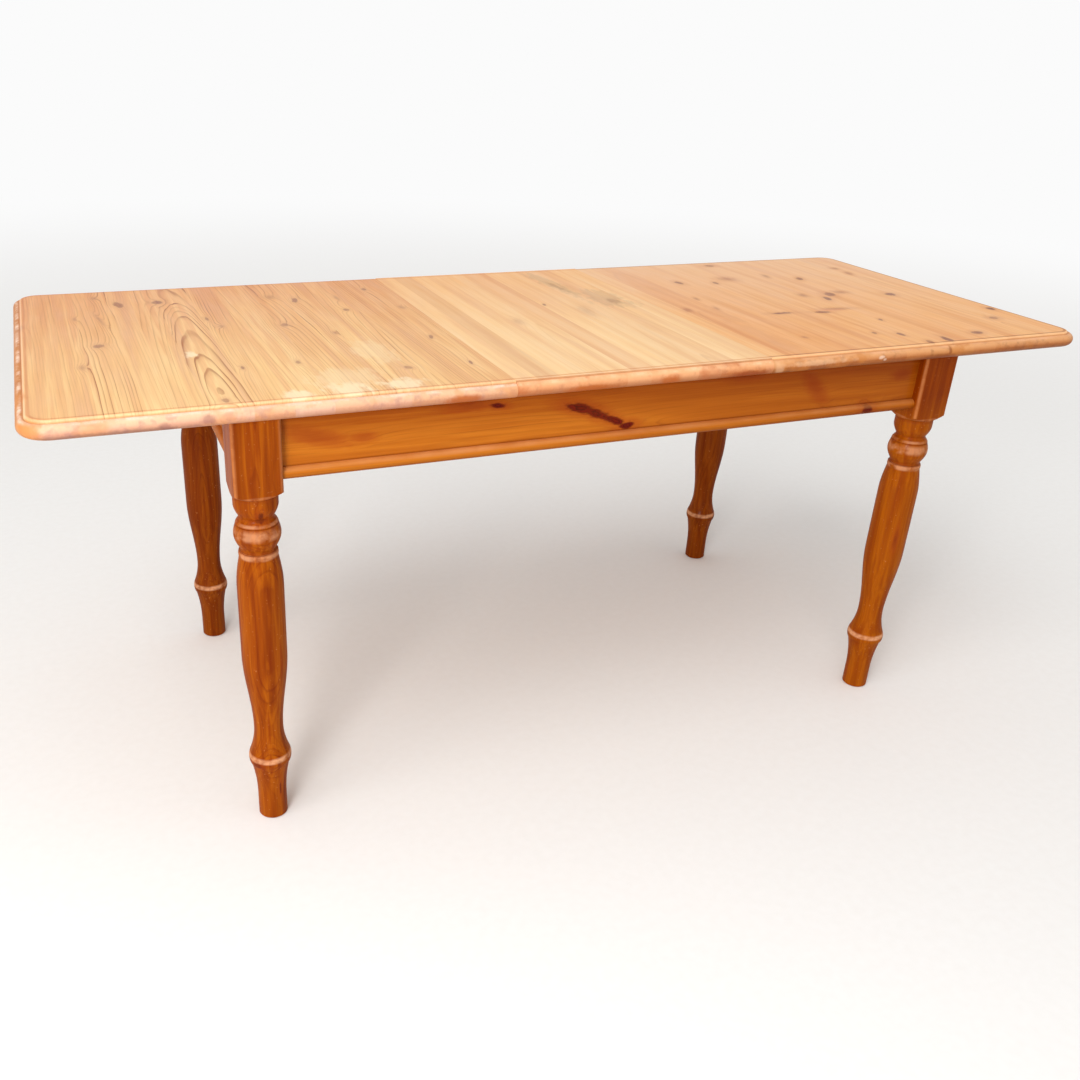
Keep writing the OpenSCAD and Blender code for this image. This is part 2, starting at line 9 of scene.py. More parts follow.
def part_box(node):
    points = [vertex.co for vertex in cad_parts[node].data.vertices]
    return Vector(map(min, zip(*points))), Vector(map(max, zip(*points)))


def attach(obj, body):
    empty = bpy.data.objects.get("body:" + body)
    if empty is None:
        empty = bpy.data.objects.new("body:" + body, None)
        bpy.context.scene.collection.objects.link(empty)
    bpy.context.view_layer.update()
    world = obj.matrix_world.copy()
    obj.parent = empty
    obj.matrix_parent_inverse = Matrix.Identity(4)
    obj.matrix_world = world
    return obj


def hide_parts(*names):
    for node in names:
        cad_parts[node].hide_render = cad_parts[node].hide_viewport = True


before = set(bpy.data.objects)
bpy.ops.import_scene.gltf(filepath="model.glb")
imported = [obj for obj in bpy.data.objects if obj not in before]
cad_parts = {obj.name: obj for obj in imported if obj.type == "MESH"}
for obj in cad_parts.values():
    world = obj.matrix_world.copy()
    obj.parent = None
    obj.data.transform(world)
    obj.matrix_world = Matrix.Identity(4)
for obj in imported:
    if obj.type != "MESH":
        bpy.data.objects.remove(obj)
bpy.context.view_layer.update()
print("frame loaded,", len(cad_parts), "nodes")

scene = bpy.context.scene
mm = 0.001
inMillimetres = 1000.0    # metres times this
weld = 0.00002            # vertices closer than this, in metres, are one


def linear(hexText):
    # sRGB hex to the linear values that the sockets take
    parts = [int(hexText[i:i + 2], 16) / 255 for i in (1, 3, 5)]
    return [p / 12.92 if p <= 0.04045 else ((p + 0.055) / 1.055) ** 2.4 for p in parts] + [1.0]


def add(tree, kind, *given, out=0, stops=None, **settings):
    # one node with its settings, links and values; gives back the output asked for.
    # What is given goes to the sockets in order, or by the keys of one dictionary, as in a
    # colour Mix, whose factor is socket 0 and whose two colours are 6 and 7
    made = tree.nodes.new("ShaderNode" + kind)
    for name, value in settings.items():
        setattr(made, name, value)
    if stops:
        elements = made.color_ramp.elements
        while len(elements) < len(stops):
            elements.new(1.0)
        for element, (place, shade) in zip(elements, stops):
            element.position = place
            element.color = linear(shade) if isinstance(shade, str) else list(shade)
    inputs = given[0] if given and isinstance(given[0], dict) else dict(enumerate(given))
    for key, value in inputs.items():
        if isinstance(value, bpy.types.NodeSocket):
            tree.links.new(value, made.inputs[key])
        else:
            made.inputs[key].default_value = value
    return made.outputs[out] if made.outputs else made


def newMaterial(name):
    material = bpy.data.materials.new(name)
    material.use_nodes = True
    material.node_tree.nodes.clear()
    return material, material.node_tree


def backgroundRays(tree):
    # rays that show the background itself: to the camera, in a reflection and through glass
    path = add(tree, "LightPath").node.outputs
    seen = add(tree, "Math", path["Is Camera Ray"], path["Is Glossy Ray"], operation="MAXIMUM")
    return add(tree, "Math", seen, path["Is Transmission Ray"], operation="MAXIMUM")


# Camera, set to the photograph's own view
view = {
    "place": (-0.88505, -1.78012, 1.24683),
    "turn": (64.3725, -1.9396, -21.3821),
    "lens": 34.967,
    "shift": (0.0669, -0.0067),
}
camera = bpy.data.objects.new("camera", bpy.data.cameras.new("camera"))
scene.collection.objects.link(camera)
camera.location = view["place"]
camera.rotation_euler = [radians(a) for a in view["turn"]]
camera.data.sensor_width = 36
camera.data.lens = view["lens"]
camera.data.shift_x, camera.data.shift_y = view["shift"]
camera.data.clip_end = 200
scene.camera = camera
print("camera placed")

# Floor and light: pale floor, soft daylight from the left and in front
studio = {
    "floor": "#eceae7", "floorSpeck": "#f1f0ee",
    "floorSize": 120,
    "fadeFrom": 2.2, "fadeTo": 7.0,
    "sky": "#fbfbfb",
    "horizon": 0.18, "overhead": 0.92,
    # place, aimed at, width as an angle or in metres, strength or power
    "daylight": ((-3.2, -2.2, 5.0), (0, 0, 0.4), 45, 1.12),
    "window": ((-1.9, -2.3, 1.5), (-0.3, -0.3, 0.5), 1.0, 46),
}
floorMesh = bpy.data.meshes.new("floor")
bm = bmesh.new()
bmesh.ops.create_grid(bm, x_segments=1, y_segments=1, size=studio["floorSize"] / 2)
bm.to_mesh(floorMesh)
bm.free()
floor = bpy.data.objects.new("floor", floorMesh)
scene.collection.objects.link(floor)
floorPaint, tree = newMaterial("pale studio floor")
floorPlace = add(tree, "TexCoord", out="Object")
floorGrain = add(tree, "TexNoise", {"Vector": floorPlace, "Scale": 60, "Detail": 4})
floorShade = add(tree, "Mix", {0: floorGrain, 6: linear(studio["floor"]), 7: linear(studio["floorSpeck"])},
                 out=2, data_type="RGBA")
floorSurface = add(tree, "BsdfPrincipled", {"Base Color": floorShade, "Roughness": 0.9,
                                            "Specular IOR Level": 0.2})
# far from the table the floor fades into the background
distance = add(tree, "VectorMath", floorPlace, out="Value", operation="LENGTH")
fade = add(tree, "MapRange", distance, studio["fadeFrom"], studio["fadeTo"], interpolation_type="SMOOTHSTEP")
seen = add(tree, "Math", fade, backgroundRays(tree), operation="MULTIPLY")
background = add(tree, "Emission", {"Color": linear(studio["sky"]), "Strength": 1.0})
add(tree, "OutputMaterial", {"Surface": add(tree, "MixShader", seen, floorSurface, background)})
floorMesh.materials.append(floorPaint)

world = bpy.data.worlds.new("daylight")
scene.world = world
world.use_nodes = True
tree = world.node_tree
tree.nodes.clear()
upwards = add(tree, "SeparateXYZ", add(tree, "TexCoord", out="Generated"), out="Z")
above = add(tree, "MapRange", {0: upwards, 3: studio["horizon"], 4: studio["overhead"]})
skyLevel = add(tree, "Mix", {0: backgroundRays(tree), 2: above, 3: 1.0}, data_type="FLOAT")
add(tree, "OutputWorld", {"Surface": add(tree, "Background", {
    "Color": linear(studio["sky"]), "Strength": skyLevel})})
for name in ("daylight", "window"):
    place, target, width, strength = studio[name]
    if name == "daylight":
        lamp = bpy.data.lights.new(name, "SUN")
        lamp.angle = radians(width)
    else:
        lamp = bpy.data.lights.new(name, "AREA")
        lamp.shape, lamp.size = "DISK", width
    lamp.energy = strength
    lampObject = bpy.data.objects.new(name, lamp)
    lampObject.visible_camera = False
    scene.collection.objects.link(lampObject)
    lampObject.location = place
    lampObject.rotation_euler = (Vector(target) - Vector(place)).to_track_quat("-Z", "Y").to_euler()
scene.view_settings.view_transform = "Standard"
print("floor and light made")


def nearestMark(put, here, marks):
    # distance to the nearest of some ellipsoids, each with its middle, half sizes and turn; 1 is its edge
    closest = None
    for middle, size, turn in marks:
        spot = put("Mapping", {0: here, "Location": middle, "Rotation": [radians(a) for a in turn],
                               "Scale": size}, vector_type="TEXTURE")
        away = put("VectorMath", spot, out="Value", operation="LENGTH")
        closest = away if closest is None else put("Math", closest, away, operation="MINIMUM")
    return closest


# Noise along the grain: length and width of its streaks in millimetres, detail and seed
grainNoise = {
    "ragged": (18, 6, 3, 3.1), "ringStrength": (240, 26, 2, 8.3), "fibre": (70, 1.6, 3, 6.6),
    "knotMood": (150, 90, 1, 12.5), "pores": (60, 1.4, 2, 4.2), "planing": (90, 45, 1, 2.4),
    "gloss": (120, 30, 3, 9.4), "patch": (30, 12, 4, 11.3), "blocks": (50, 50, 0, 7.7),
}
# How dark one year's growth is, from its pale start to the sharp end of its latewood
yearShades = [(0.0, 0.0), (0.5, 0.04), (0.74, 0.35), (0.84, 1.0), (0.93, 1.0), (0.98, 0.15), (1.0, 0.0)]
# Figure of the wood, the same for every piece. In the distances from a knot its edge lies at 1
figure = {
    "boardShift": (3700.0, 900.0),    # millimetres along the tree, by a board's heart and its tone
    "depthWave": 1.6,    # rings wander this much more in depth than sideways
    "ragged": 1.2, "knotRings": 2.4,    # how far a knot's outline wanders, and rings inside it
    "core": (0.6, 1.08), "faint": (0.3, 1.35), "halo": (0.8, 2.6),    # where each goes from full to none
    "pushFalls": 0.6,    # how soon a knot stops pushing the rings aside
    "spellRings": 7, "spell": 6.0,    # good and poor years come in spells, and how much those shift
    "ringRelief": 0.5, "poreRelief": 0.4, "relief": 0.4,    # two shares, and the depth in millimetres
    "ringRough": -0.05,    # varnish lies smoother on the hard latewood
}
evenTone = [(0.0, "#ffffff"), (1.0, "#ffffff")]
noKnots = [((0, 0, -900), (1, 1, 1), (0, 0, 0))]    # one that lies far below the floor


# Varnished pine. Softwood shows pale earlywood and dark narrow latewood in each ring, which
# on a flat-sawn face runs in long arches; knots push the rings aside. Old varnish glosses it,
# and wears pale on edges. All lengths are in millimetres of the real table.
def pine(name, look):
    material, tree = newMaterial(name)
    put = partial(add, tree)
    along, across, deep = look["axes"]
    here = put("VectorMath", {0: put("TexCoord", out="Object"), "Scale": inMillimetres}, operation="SCALE")
    here = put("VectorMath", here, [-c for c in look.get("centre", (0, 0, 0))], operation="ADD")
    if "turn" in look:
        here = put("VectorRotate", {0: here, "Angle": radians(look["turn"])}, rotation_type="Z_AXIS")
    place = dict(zip("XYZ", put("SeparateXYZ", here).node.outputs))
    length, width, depth = place[along], place[across], place[deep]

    # Boards: each stop of the ramp gives a board's heart across, heart depth, tone and ring strength
    low, high = look["span"]
    share = put("Math", put("Math", width, low, operation="SUBTRACT"), high - low, operation="DIVIDE")
    table = [((edge - low) / (high - low), (((heart - low) / (high - low) + 0.5) / 2, down, tone, rings))
             for edge, heart, down, tone, rings in look["boards"]]
    boards = put("ValToRGB", share, stops=table)
    boards.node.color_ramp.interpolation = "CONSTANT"
    heart, down, tone = put("SeparateColor", boards).node.outputs
    heartAt = put("Math", heart, 2 * (high - low), low - (high - low) / 2, operation="MULTIPLY_ADD")
    downAt = put("Math", down, look["deepest"], look["shallowest"], operation="MULTIPLY_ADD")
    # each board was another part of the tree, so its streaks start elsewhere, up to metres away
    byHeart, byTone = figure["boardShift"]
    shift = put("Math", heart, byHeart, put("Math", tone, byTone, operation="MULTIPLY"),
                operation="MULTIPLY_ADD")
    shifted = put("VectorMath", here, put("CombineXYZ", {along: shift}), operation="ADD")

    def streaks(alongSize, acrossSize, detail, seed, out=0):
        # noise drawn out along the grain, at the sizes given
        scale = [1 / alongSize if axis == along else 1 / acrossSize for axis in "XYZ"]
        at = put("VectorMath", shifted, scale, operation="MULTIPLY")
        at = put("VectorMath", at, (seed, seed * 0.7, seed * 1.3), operation="ADD")
        return put("TexNoise", {"Vector": at, "Scale": 1.0, "Detail": detail, "Roughness": 0.55}, out=out)

    # Knots: the nearest one counts, and its outline is ragged
    ragged = put("Math", streaks(*grainNoise["ragged"]), 0.5, operation="SUBTRACT")
    darkKnot, faintKnot = [
        put("Math", ragged, figure["ragged"], nearestMark(put, here, look[marks]), operation="MULTIPLY_ADD")
        for marks in ("knots", "faintKnots")]
    near = put("Math", darkKnot, faintKnot, operation="MINIMUM")

    # Distance from the heart of the tree, bent by slow waves and pushed out by the knots
    wave = put("SeparateColor", streaks(look["waveLength"], look["waveWidth"], 2.5, 5.7, out="Color"))
    sideways, downwards = [put("Math", way, 0.5, operation="SUBTRACT") for way in wave.node.outputs[:2]]
    side = put("Math", sideways, look["wave"], put("Math", width, heartAt, operation="SUBTRACT"),
               operation="MULTIPLY_ADD")
    under = put("Math", length, look["taper"], put("Math", depth, downAt, operation="SUBTRACT"),
                operation="MULTIPLY_ADD")
    under = put("Math", downwards, look["wave"] * figure["depthWave"], under, operation="MULTIPLY_ADD")
    radius = put("Math", put("Math", side, side, put("Math", under, under, operation="MULTIPLY"),
                             operation="MULTIPLY_ADD"), operation="SQRT")
    falloff = put("Math", put("Math", near, figure["pushFalls"], operation="MULTIPLY"), 2.0,
                  operation="POWER")
    push = put("Math", look["push"], put("Math", falloff, 1.0, operation="ADD"), operation="DIVIDE")
    radius = put("Math", radius, push, operation="ADD")

    # Rings: good years and poor ones, and no two leave the same line
    spells = put("Math", radius, look["ring"] * figure["spellRings"], operation="DIVIDE")
    pace = put("TexNoise", {"W": spells, "Scale": 1.0, "Detail": 1.0}, noise_dimensions="1D")
    years = put("Math", pace, figure["spell"], put("Math", radius, look["ring"], operation="DIVIDE"),
                operation="MULTIPLY_ADD")
    luck = put("TexWhiteNoise", {"W": put("Math", years, operation="FLOOR")}, noise_dimensions="1D")
    year = put("MapRange", {0: luck, 3: look["palest"], 4: 1.0})
    greys = [(at, (dark, dark, dark, 1)) for at, dark in yearShades]
    ring = put("ValToRGB", put("Math", years, operation="FRACT"), stops=greys)
    strength = put("MapRange", streaks(*grainNoise["ringStrength"]), 0.3, 0.7, look["ringLow"],
                   look["ringHigh"])
    strength = put("Math", put("Math", strength, year, operation="MULTIPLY"), boards.node.outputs["Alpha"],
                   operation="MULTIPLY")
    ringShade = put("Math", ring, strength, operation="MULTIPLY", use_clamp=True)

    # Colour of the clear wood: broad bands, then the rings, the board's own tone and the fibres
    shade = put("ValToRGB", streaks(look["bandLength"], look["bandWidth"], 3, 1.9), stops=look["bands"])
    fibre = put("MapRange", streaks(*grainNoise["fibre"]), 0.25, 0.75, 1 - look["fibre"],
                1 + look["fibre"] * 0.6)
    toneShade = put("ValToRGB", tone, stops=look["tones"])
    for level, colour, blend in ((ringShade, linear(look["late"]), "MIX"), (1.0, toneShade, "MULTIPLY"),
                                 (1.0, fibre, "MULTIPLY")):
        shade = put("Mix", {0: level, 6: shade, 7: colour}, out=2, data_type="RGBA", blend_type=blend)
    for step in look.get("after", []):
        shade = step(put, here, place, streaks, shade)

    # Colour of the knots, with a dark rim and a red halo
    rimmed = put("Math", put("Math", darkKnot, figure["knotRings"], operation="MULTIPLY"),
                 operation="FRACT")
    knotCore = put("Mix", {0: rimmed, 6: linear(look["knot"]), 7: linear(look["knotRim"])}, out=2,
                   data_type="RGBA")
    mood = put("MapRange", streaks(*grainNoise["knotMood"]), 0.35, 0.65, look.get("knotPalest", 0.55), 1.0)
    halo = put("MapRange", near, *figure["halo"], look["halo"], 0.0, interpolation_type="SMOOTHSTEP")
    faint = put("MapRange", faintKnot, *figure["faint"], look["faint"], 0.0)
    core = put("Math", put("MapRange", darkKnot, *figure["core"], look["knotDepth"], 0.0), mood,
               operation="MULTIPLY")
    for level, colour in ((halo, linear(look["knotHalo"])), (faint, linear(look["knot"])), (core, knotCore)):
        shade = put("Mix", {0: level, 6: shade, 7: colour}, out=2, data_type="RGBA")
    # wear, and painted light and shade, laid over the knots
    for step in look.get("worn", []):
        shade = step(put, here, place, streaks, shade)

    # Relief of rings and fibres, and varnish that is duller where the grain is open
    relief = put("Math", ringShade, figure["ringRelief"], streaks(*grainNoise["planing"]),
                 operation="MULTIPLY_ADD")
    relief = put("Math", streaks(*grainNoise["pores"]), figure["poreRelief"], relief,
                 operation="MULTIPLY_ADD")
    bump = put("Bump", {"Height": relief, "Strength": look["bump"], "Distance": figure["relief"] * mm})
    rough = put("MapRange", streaks(*grainNoise["gloss"]), 0.3, 0.7, *look["rough"])
    rough = put("Math", ringShade, figure["ringRough"], rough, operation="MULTIPLY_ADD")
    put("OutputMaterial", {"Surface": put("BsdfPrincipled", {
        "Base Color": shade, "Roughness": rough, "Normal": bump, "IOR": 1.5,
        "Coat Weight": look["coat"], "Coat Roughness": look["coatRough"],
        "Specular IOR Level": look.get("specular", 0.5)})})
    return material


# The top, in millimetres: joint is where a half top ends, and leafHalf where the leaf does
tableTop = {
    "halfLength": 950, "halfWidth": 380, "corner": 45, "under": 738, "thick": 27,
    "joint": 236, "leafHalf": 235.7, "cornerSteps": 14,
}
nosing = {"y": -378, "deep": 14}    # where marks on the front nosing lie, and how deep they go
through = 1e6    # a mark with this half size passes right through a board


def inTop(marks):
    # marks on the top, given as (x, y, half width, half length, turn)
    return [((x, y, 0), (wide, long, through), (0, 0, turn)) for x, y, wide, long, turn in marks]


def onFront(marks):
    # marks on a board that faces the front or back, as (x, z, half width, half height, turn)
    return [((x, 0, z), (wide, through, high), (0, turn, 0)) for x, z, wide, high, turn in marks]


def onNose(marks):
    # marks on the front nosing of the top, as (x, z, half width, half height)
    return [((x, nosing["y"], z), (wide, nosing["deep"], high), (0, 0, 0)) for x, z, wide, high in marks]


def onEnd(marks):
    # marks on a board that faces an end, as (y, z, half width, half height, turn)
    return [((0, y, z), (through, wide, high), (turn, 0, 0)) for y, z, wide, high, turn in marks]


def patches(marks, colour, amount, ragged=0.8):
    # soft patches where the finish has bleached or darkened
    def step(put, here, place, streaks, shade):
        uneven = put("Math", streaks(*grainNoise["patch"]), 0.5, operation="SUBTRACT")
        away = put("Math", uneven, ragged * 2, nearestMark(put, here, marks), operation="MULTIPLY_ADD")
        level = put("MapRange", away, 0.45, 1.2, amount, 0.0, interpolation_type="SMOOTHSTEP")
        return put("Mix", {0: level, 6: shade, 7: linear(colour)}, out=2, data_type="RGBA")
    return step


def fading(axis, start, end, colour, most=1.0, blend="MULTIPLY"):
    # a tint that comes in slowly along one axis
    def step(put, here, place, streaks, shade):
        level = put("MapRange", place[axis], start, end, 0.0, most)
        return put("Mix", {0: level, 6: shade, 7: linear(colour)}, out=2, data_type="RGBA",
                   blend_type=blend)
    return step


# Wear of the moulded edge, and painted light and shade on it, in millimetres. Four numbers say
# between which two values of a noise, a height or a distance a tint comes in or goes, and how strong it is at
# each
edgeWearAndLight = {
    "most": 0.9, "soft": 0.6,
    # tints of the end grain, by a noise of this scale and detail or else by height
    "noise": {"speckle": (0.3, 4), "spots": (0.06, 4), "bare": (0.022, 3)},
    "speckle": (0.35, 0.7, 0.0, 0.22), "spots": (0.53, 0.66, 0.0, 0.4), "bare": (0.55, 0.66, 0.0, 0.5),
    # painted shade low on the nosing, and painted light high on it
    "lower": (739.5, 752.0, 0.72, 0.0), "upper": (748.0, 757.0, 0.0, 0.62),
    "raised": (755.0, 759.0, 0.0, 1.0),
    # lines along the edge: the rim lies this far in, the others this far in from the groove
    "rimAt": 18.0, "rim": (1.2, 3.4, 1.0, 0.0),
    # the quarter round is lightened by a painted highlight
    "quarterAt": 2.5, "quarter": (1.0, 2.4),
    # a line of painted shade in the groove
    "grooveShade": (0.3, 1.5, 0.6, 0.0), "grooveShadeColour": "#a55c2a",
    "shoulderAt": -4.5, "shoulder": (1.5, 4.0, 1.0, 0.2), "nicks": (0.44, 0.64, 0.0, 0.8),
}


def mouldedEdge(edge):
    # The long edges cut across the boards and show end grain in blocks; the moulding's groove
    # gets a line of painted shade and its quarter round a painted highlight; the nosing gets painted
    # shade underneath and painted light above, and is rubbed in nicks along its shoulder
    def step(put, here, place, streaks, shade):
        beyond = []
        for axis, half in (("X", tableTop["halfLength"]), ("Y", tableTop["halfWidth"])):
            past = put("Math", put("Math", place[axis], operation="ABSOLUTE"), half - tableTop["corner"],
                       operation="SUBTRACT")
            beyond.append(put("Math", past, 0.0, operation="MAXIMUM"))
        outX, outY = beyond
        reach = put("Math", put("Math", outX, outX, put("Math", outY, outY, operation="MULTIPLY"),
                                operation="MULTIPLY_ADD"), operation="SQRT")
        inset = put("Math", float(tableTop["corner"]), reach, operation="SUBTRACT")
        band, soft = edge["band"], edgeWearAndLight["soft"]
        onEdge = put("MapRange", inset, band - soft, band + soft, 1.0, 0.0)
        acrossGrain = put("Math", outY, put("Math", reach, 0.01, operation="ADD"), operation="DIVIDE")
        block = put("Math", place["X"], streaks(*grainNoise["blocks"]), operation="ADD")
        block = put("Math", put("Math", block, edge["blocks"], operation="DIVIDE"), operation="FLOOR")
        pick = put("TexWhiteNoise", {"W": block}, noise_dimensions="1D")
        endShade = put("ValToRGB", pick, stops=edge["endShades"])
        # end grain drinks finish unevenly, in specks and in darker spots a finger wide; the nosing
        # gets painted shade low down and painted light high up
        for name in ("speckle", "lower", "upper", "spots", "bare"):
            source = place["Z"]
            if name in edgeWearAndLight["noise"]:
                scale, detail = edgeWearAndLight["noise"][name]
                source = put("TexNoise", {"Vector": here, "Scale": scale, "Detail": detail})
            level = put("MapRange", source, *edgeWearAndLight[name])
            endShade = put("Mix", {0: level, 6: endShade, 7: linear(edge[name])}, out=2, data_type="RGBA")
        raised = put("MapRange", place["Z"], *edgeWearAndLight["raised"])
        groove = edge["groove"]
        lines = []
        for at, levels in ((edgeWearAndLight["rimAt"], edgeWearAndLight["rim"]),
                           (groove + edgeWearAndLight["quarterAt"], (*edgeWearAndLight["quarter"], edge["quarter"][1], 0.0)),
                           (groove, edgeWearAndLight["grooveShade"]),
                           (groove + edgeWearAndLight["shoulderAt"], edgeWearAndLight["shoulder"])):
            away = put("Math", put("Math", inset, at, operation="SUBTRACT"), operation="ABSOLUTE")
            lines.append(put("Math", put("MapRange", away, *levels), raised, operation="MULTIPLY"))
        rim, quarter, grooveShade, shoulder = lines
        # the nosing's upper shoulder is rubbed, in broken stretches with small nicks
        rub = put("TexNoise", {"Vector": here, "Scale": 0.03, "Detail": 6, "Roughness": 0.7})
        nicks = put("Math", put("MapRange", rub, *edgeWearAndLight["nicks"]), onEdge, operation="MULTIPLY")
        endGrain = put("Math", acrossGrain, edgeWearAndLight["most"], operation="MULTIPLY")
        longGrain = put("Math", edgeWearAndLight["most"], endGrain, operation="SUBTRACT")
        for level, colour, blend in (
                (put("Math", onEdge, endGrain, operation="MULTIPLY"), endShade, "MIX"),
                (put("Math", onEdge, longGrain, operation="MULTIPLY"), linear(edge["ends"]), "MIX"),
                (rim, linear(edge["rim"]), "MULTIPLY"),
                (quarter, linear(edge["quarter"][0]), "MIX"),
                (grooveShade, linear(edgeWearAndLight["grooveShadeColour"]), "MIX"),
                (put("Math", nicks, shoulder, operation="MULTIPLY"), linear(edge["rubbed"]), "MIX")):
            shade = put("Mix", {0: level, 6: shade, 7: colour}, out=2, data_type="RGBA", blend_type=blend)
        return shade
    return step


def topLook(**own):
    look = {
        "axes": "YXZ", "shallowest": 700, "deepest": 50,
        "waveLength": 600, "waveWidth": 60, "wave": 12, "taper": 0.04, "push": 8, "ring": 4.6,
        "ringLow": 0.15, "ringHigh": 1.1, "palest": 0.15, "bandLength": 700, "bandWidth": 26,
        "knot": "#a97254", "knotRim": "#83503f", "knotHalo": "#d59c70", "knotDepth": 0.9,
        "faint": 0.4, "halo": 0.35, "bump": 0.3, "rough": (0.36, 0.5), "coat": 0.02,
        "coatRough": 0.3, "fibre": 0.07, "specular": 0.1,
    }
    look.update(own)
    return look


# Left half: strong arches, bleached by wear near the front
leftTop = topLook(
    span=(-952, -234),
    # each board: where it starts, where its heart lies, how near the face, tone, ring strength
    boards=[(-952, -1060, 0.3, 0.3, 0.35), (-882, -1000, 0.5, 0.5, 0.4), (-847, -905, 0.8, 0.6, 0.85),
            (-802, -905, 0.8, 0.6, 1.2), (-783, -905, 0.8, 0.8, 0.3), (-747, -672, 0.6, 0.7, 0.45),
            (-700, -672, 0.6, 0.85, 1.15), (-637, -480, 0.3, 0.55, 0.9), (-610, -480, 0.3, 0.55, 0.5),
            (-582, -680, 0.3, 0.75, 0.5), (-515, -545, 0.6, 0.5, 0.6), (-465, -545, 0.6, 0.6, 1.0),
            (-425, -290, 0.3, 0.65, 0.65), (-350, -460, 0.2, 0.3, 0.6)],
    late="#a9642f", wave=8.5, waveLength=430, waveWidth=50, taper=0.062, ring=5.4, ringLow=0.2,
    ringHigh=1.35, push=11,
    bands=[(0.34, "#eec093"), (0.42, "#f2c591"), (0.5, "#f7ce98"), (0.57, "#fcd8a1"), (0.64, "#f3c591")],
    tones=[(0.0, "#f0dccd"), (0.5, "#f9eedd"), (1.0, "#fdf9ee")],
    knots=inTop([(-768, 252, 9, 24, 8), (-699, 256, 11, 14, 0), (-947, -175, 6, 16, 0),
                 (-821, -22, 9, 12, 0), (-628, 112, 3.5, 15, 0), (-621, -198, 3.5, 10, 0),
                 (-533, -190, 4, 11, 0), (-504, 38, 8, 13, -12), (-445, 215, 7, 20, -10),
                 (-369, 120, 6, 9, 0), (-278, -100, 4, 13, -14), (-374, -262, 7, 9, 20),
                 (-268, -262, 3, 10, -6), (-673, -348, 5, 10, 0), (-289, 275, 5, 12, 0)]),
    faintKnots=inTop([(-807, 315, 6, 12, 0), (-849, 163, 3.5, 12, 0), (-939, 127, 6, 16, 0),
                      (-852, -137, 5, 12, 0), (-808, 150, 3, 40, 8), (-612, 55, 5, 9, 0),
                      (-486, 250, 9, 16, 0), (-432, -35, 4, 12, 0), (-362, 215, 4, 18, 0),
                      (-261, 115, 5, 12, 0)]),
    after=[fading("Y", -200.0, 360.0, "#f5dfdc")],
    worn=[patches(inTop([(-490, -342, 36, 32, 0), (-405, -338, 32, 28, 0), (-572, -352, 24, 28, 0),
                         (-688, -108, 10, 24, 0)]), "#fbe9c2", 0.7, 1.1),
          patches(inTop([(-400, -165, 34, 80, 0), (-480, -290, 60, 60, 0)]), "#f8dfb2", 0.4),
          mouldedEdge({"band": 10.6, "groove": 11, "blocks": 58,
                       "endShades": [(0.0, "#cf9983"), (0.3, "#d5a592"), (0.6, "#c9865d"), (0.85, "#d19b88"),
                                     (1.0, "#c58a6c")],
                       "spots": "#9a6a6c", "speckle": "#efc2a6", "upper": "#f3cba4", "lower": "#a3664b",
                       "bare": "#d58d55", "rim": "#eed6cf", "ends": "#bd722f", "rubbed": "#fbdcc4",
                       "quarter": ("#f6cda6", 0.35)}),
          patches([((-940, -368, 748), (26, 26, 30), (0, 0, 0)),
                   ((-948, -250, 748), (20, 30, 30), (0, 0, 0))], "#cc7f3c", 0.6),
          patches(onNose([(-322, 744, 34, 9)]), "#b0530f", 0.75, 0.5),
          patches(onNose([(-702, 750, 12, 9), (-760, 744, 10, 8)]), "#8f5a55", 0.55, 0.6),
          patches(onNose([(-830, 741, 130, 6)]), "#7a554c", 0.5, 0.5)],
)
# Leaf: paler and plainer, in straight stripes, with a grey stain near its far right corner
leafTop = topLook(
    span=(-238, 238),
    boards=[(-238, -400, 0.0, 0.85, 0.6), (-200, -50, 0.0, 0.12, 0.4), (-160, -290, 0.0, 0.9, 0.7),
            (-127, -240, 0.1, 0.7, 0.7), (-97, -60, 0.3, 0.75, 1.0), (-35, 120, 0.0, 0.42, 0.7),
            (10, -140, 0.0, 0.95, 0.6), (50, 190, 0.0, 0.7, 0.6), (85, 130, 0.2, 0.55, 1.0),
            (165, -50, 0.0, 0.85, 0.5), (192, 330, 0.0, 0.8, 0.6)],
    late="#e3b482", bands=[(0.36, "#f3c899"), (0.5, "#fad4a2"), (0.6, "#fcdaac")], ring=4.0, taper=0.02,
    ringLow=0.05, ringHigh=0.5, wave=9, push=9, bump=0.25, fibre=0.05,
    tones=[(0.0, "#efe6d8"), (0.3, "#f4e3d8"), (0.6, "#f9f0e4"), (1.0, "#fffaee")],
    knots=inTop([(18, 70, 3.5, 9, -14)]),
    faintKnots=inTop([(-86, -38, 9, 20, -12), (78, 5, 12, 34, -10), (168, 72, 12, 22, -20)]),
    knotHalo="#d9a478", halo=0.25, faint=0.22,
    after=[fading("Y", -200.0, 360.0, "#fae9dc")],
    worn=[patches(inTop([(112, 240, 20, 150, 4), (165, 90, 46, 90, 0)]), "#c09a70", 0.42, 1.1),
          patches(inTop([(172, 66, 16, 22, -20), (112, 210, 7, 50, 4)]), "#a9764e", 0.45, 1.1),
          mouldedEdge({"band": 10, "groove": 9.4, "blocks": 44,
                       "endShades": [(0.0, "#bb5f20"), (0.2, "#d69468"), (0.4, "#ac4503"), (0.6, "#cf8153"),
                                     (0.8, "#b85a1c"), (1.0, "#c98a66")],
                       "spots": "#a65e40", "speckle": "#e8a878", "upper": "#fabd8a", "lower": "#8a4013",
                       "bare": "#b34a08", "rim": "#efd3c3", "ends": "#c27a40", "rubbed": "#fccb9f",
                       "quarter": ("#fbd0a2", 0.5)}),
          patches(onNose([(-105, 743, 50, 8), (35, 745, 22, 10)]), "#b4560f", 0.65, 0.5),
          patches(onNose([(190, 742, 44, 9)]), "#8a3508", 0.65, 0.5)],
)
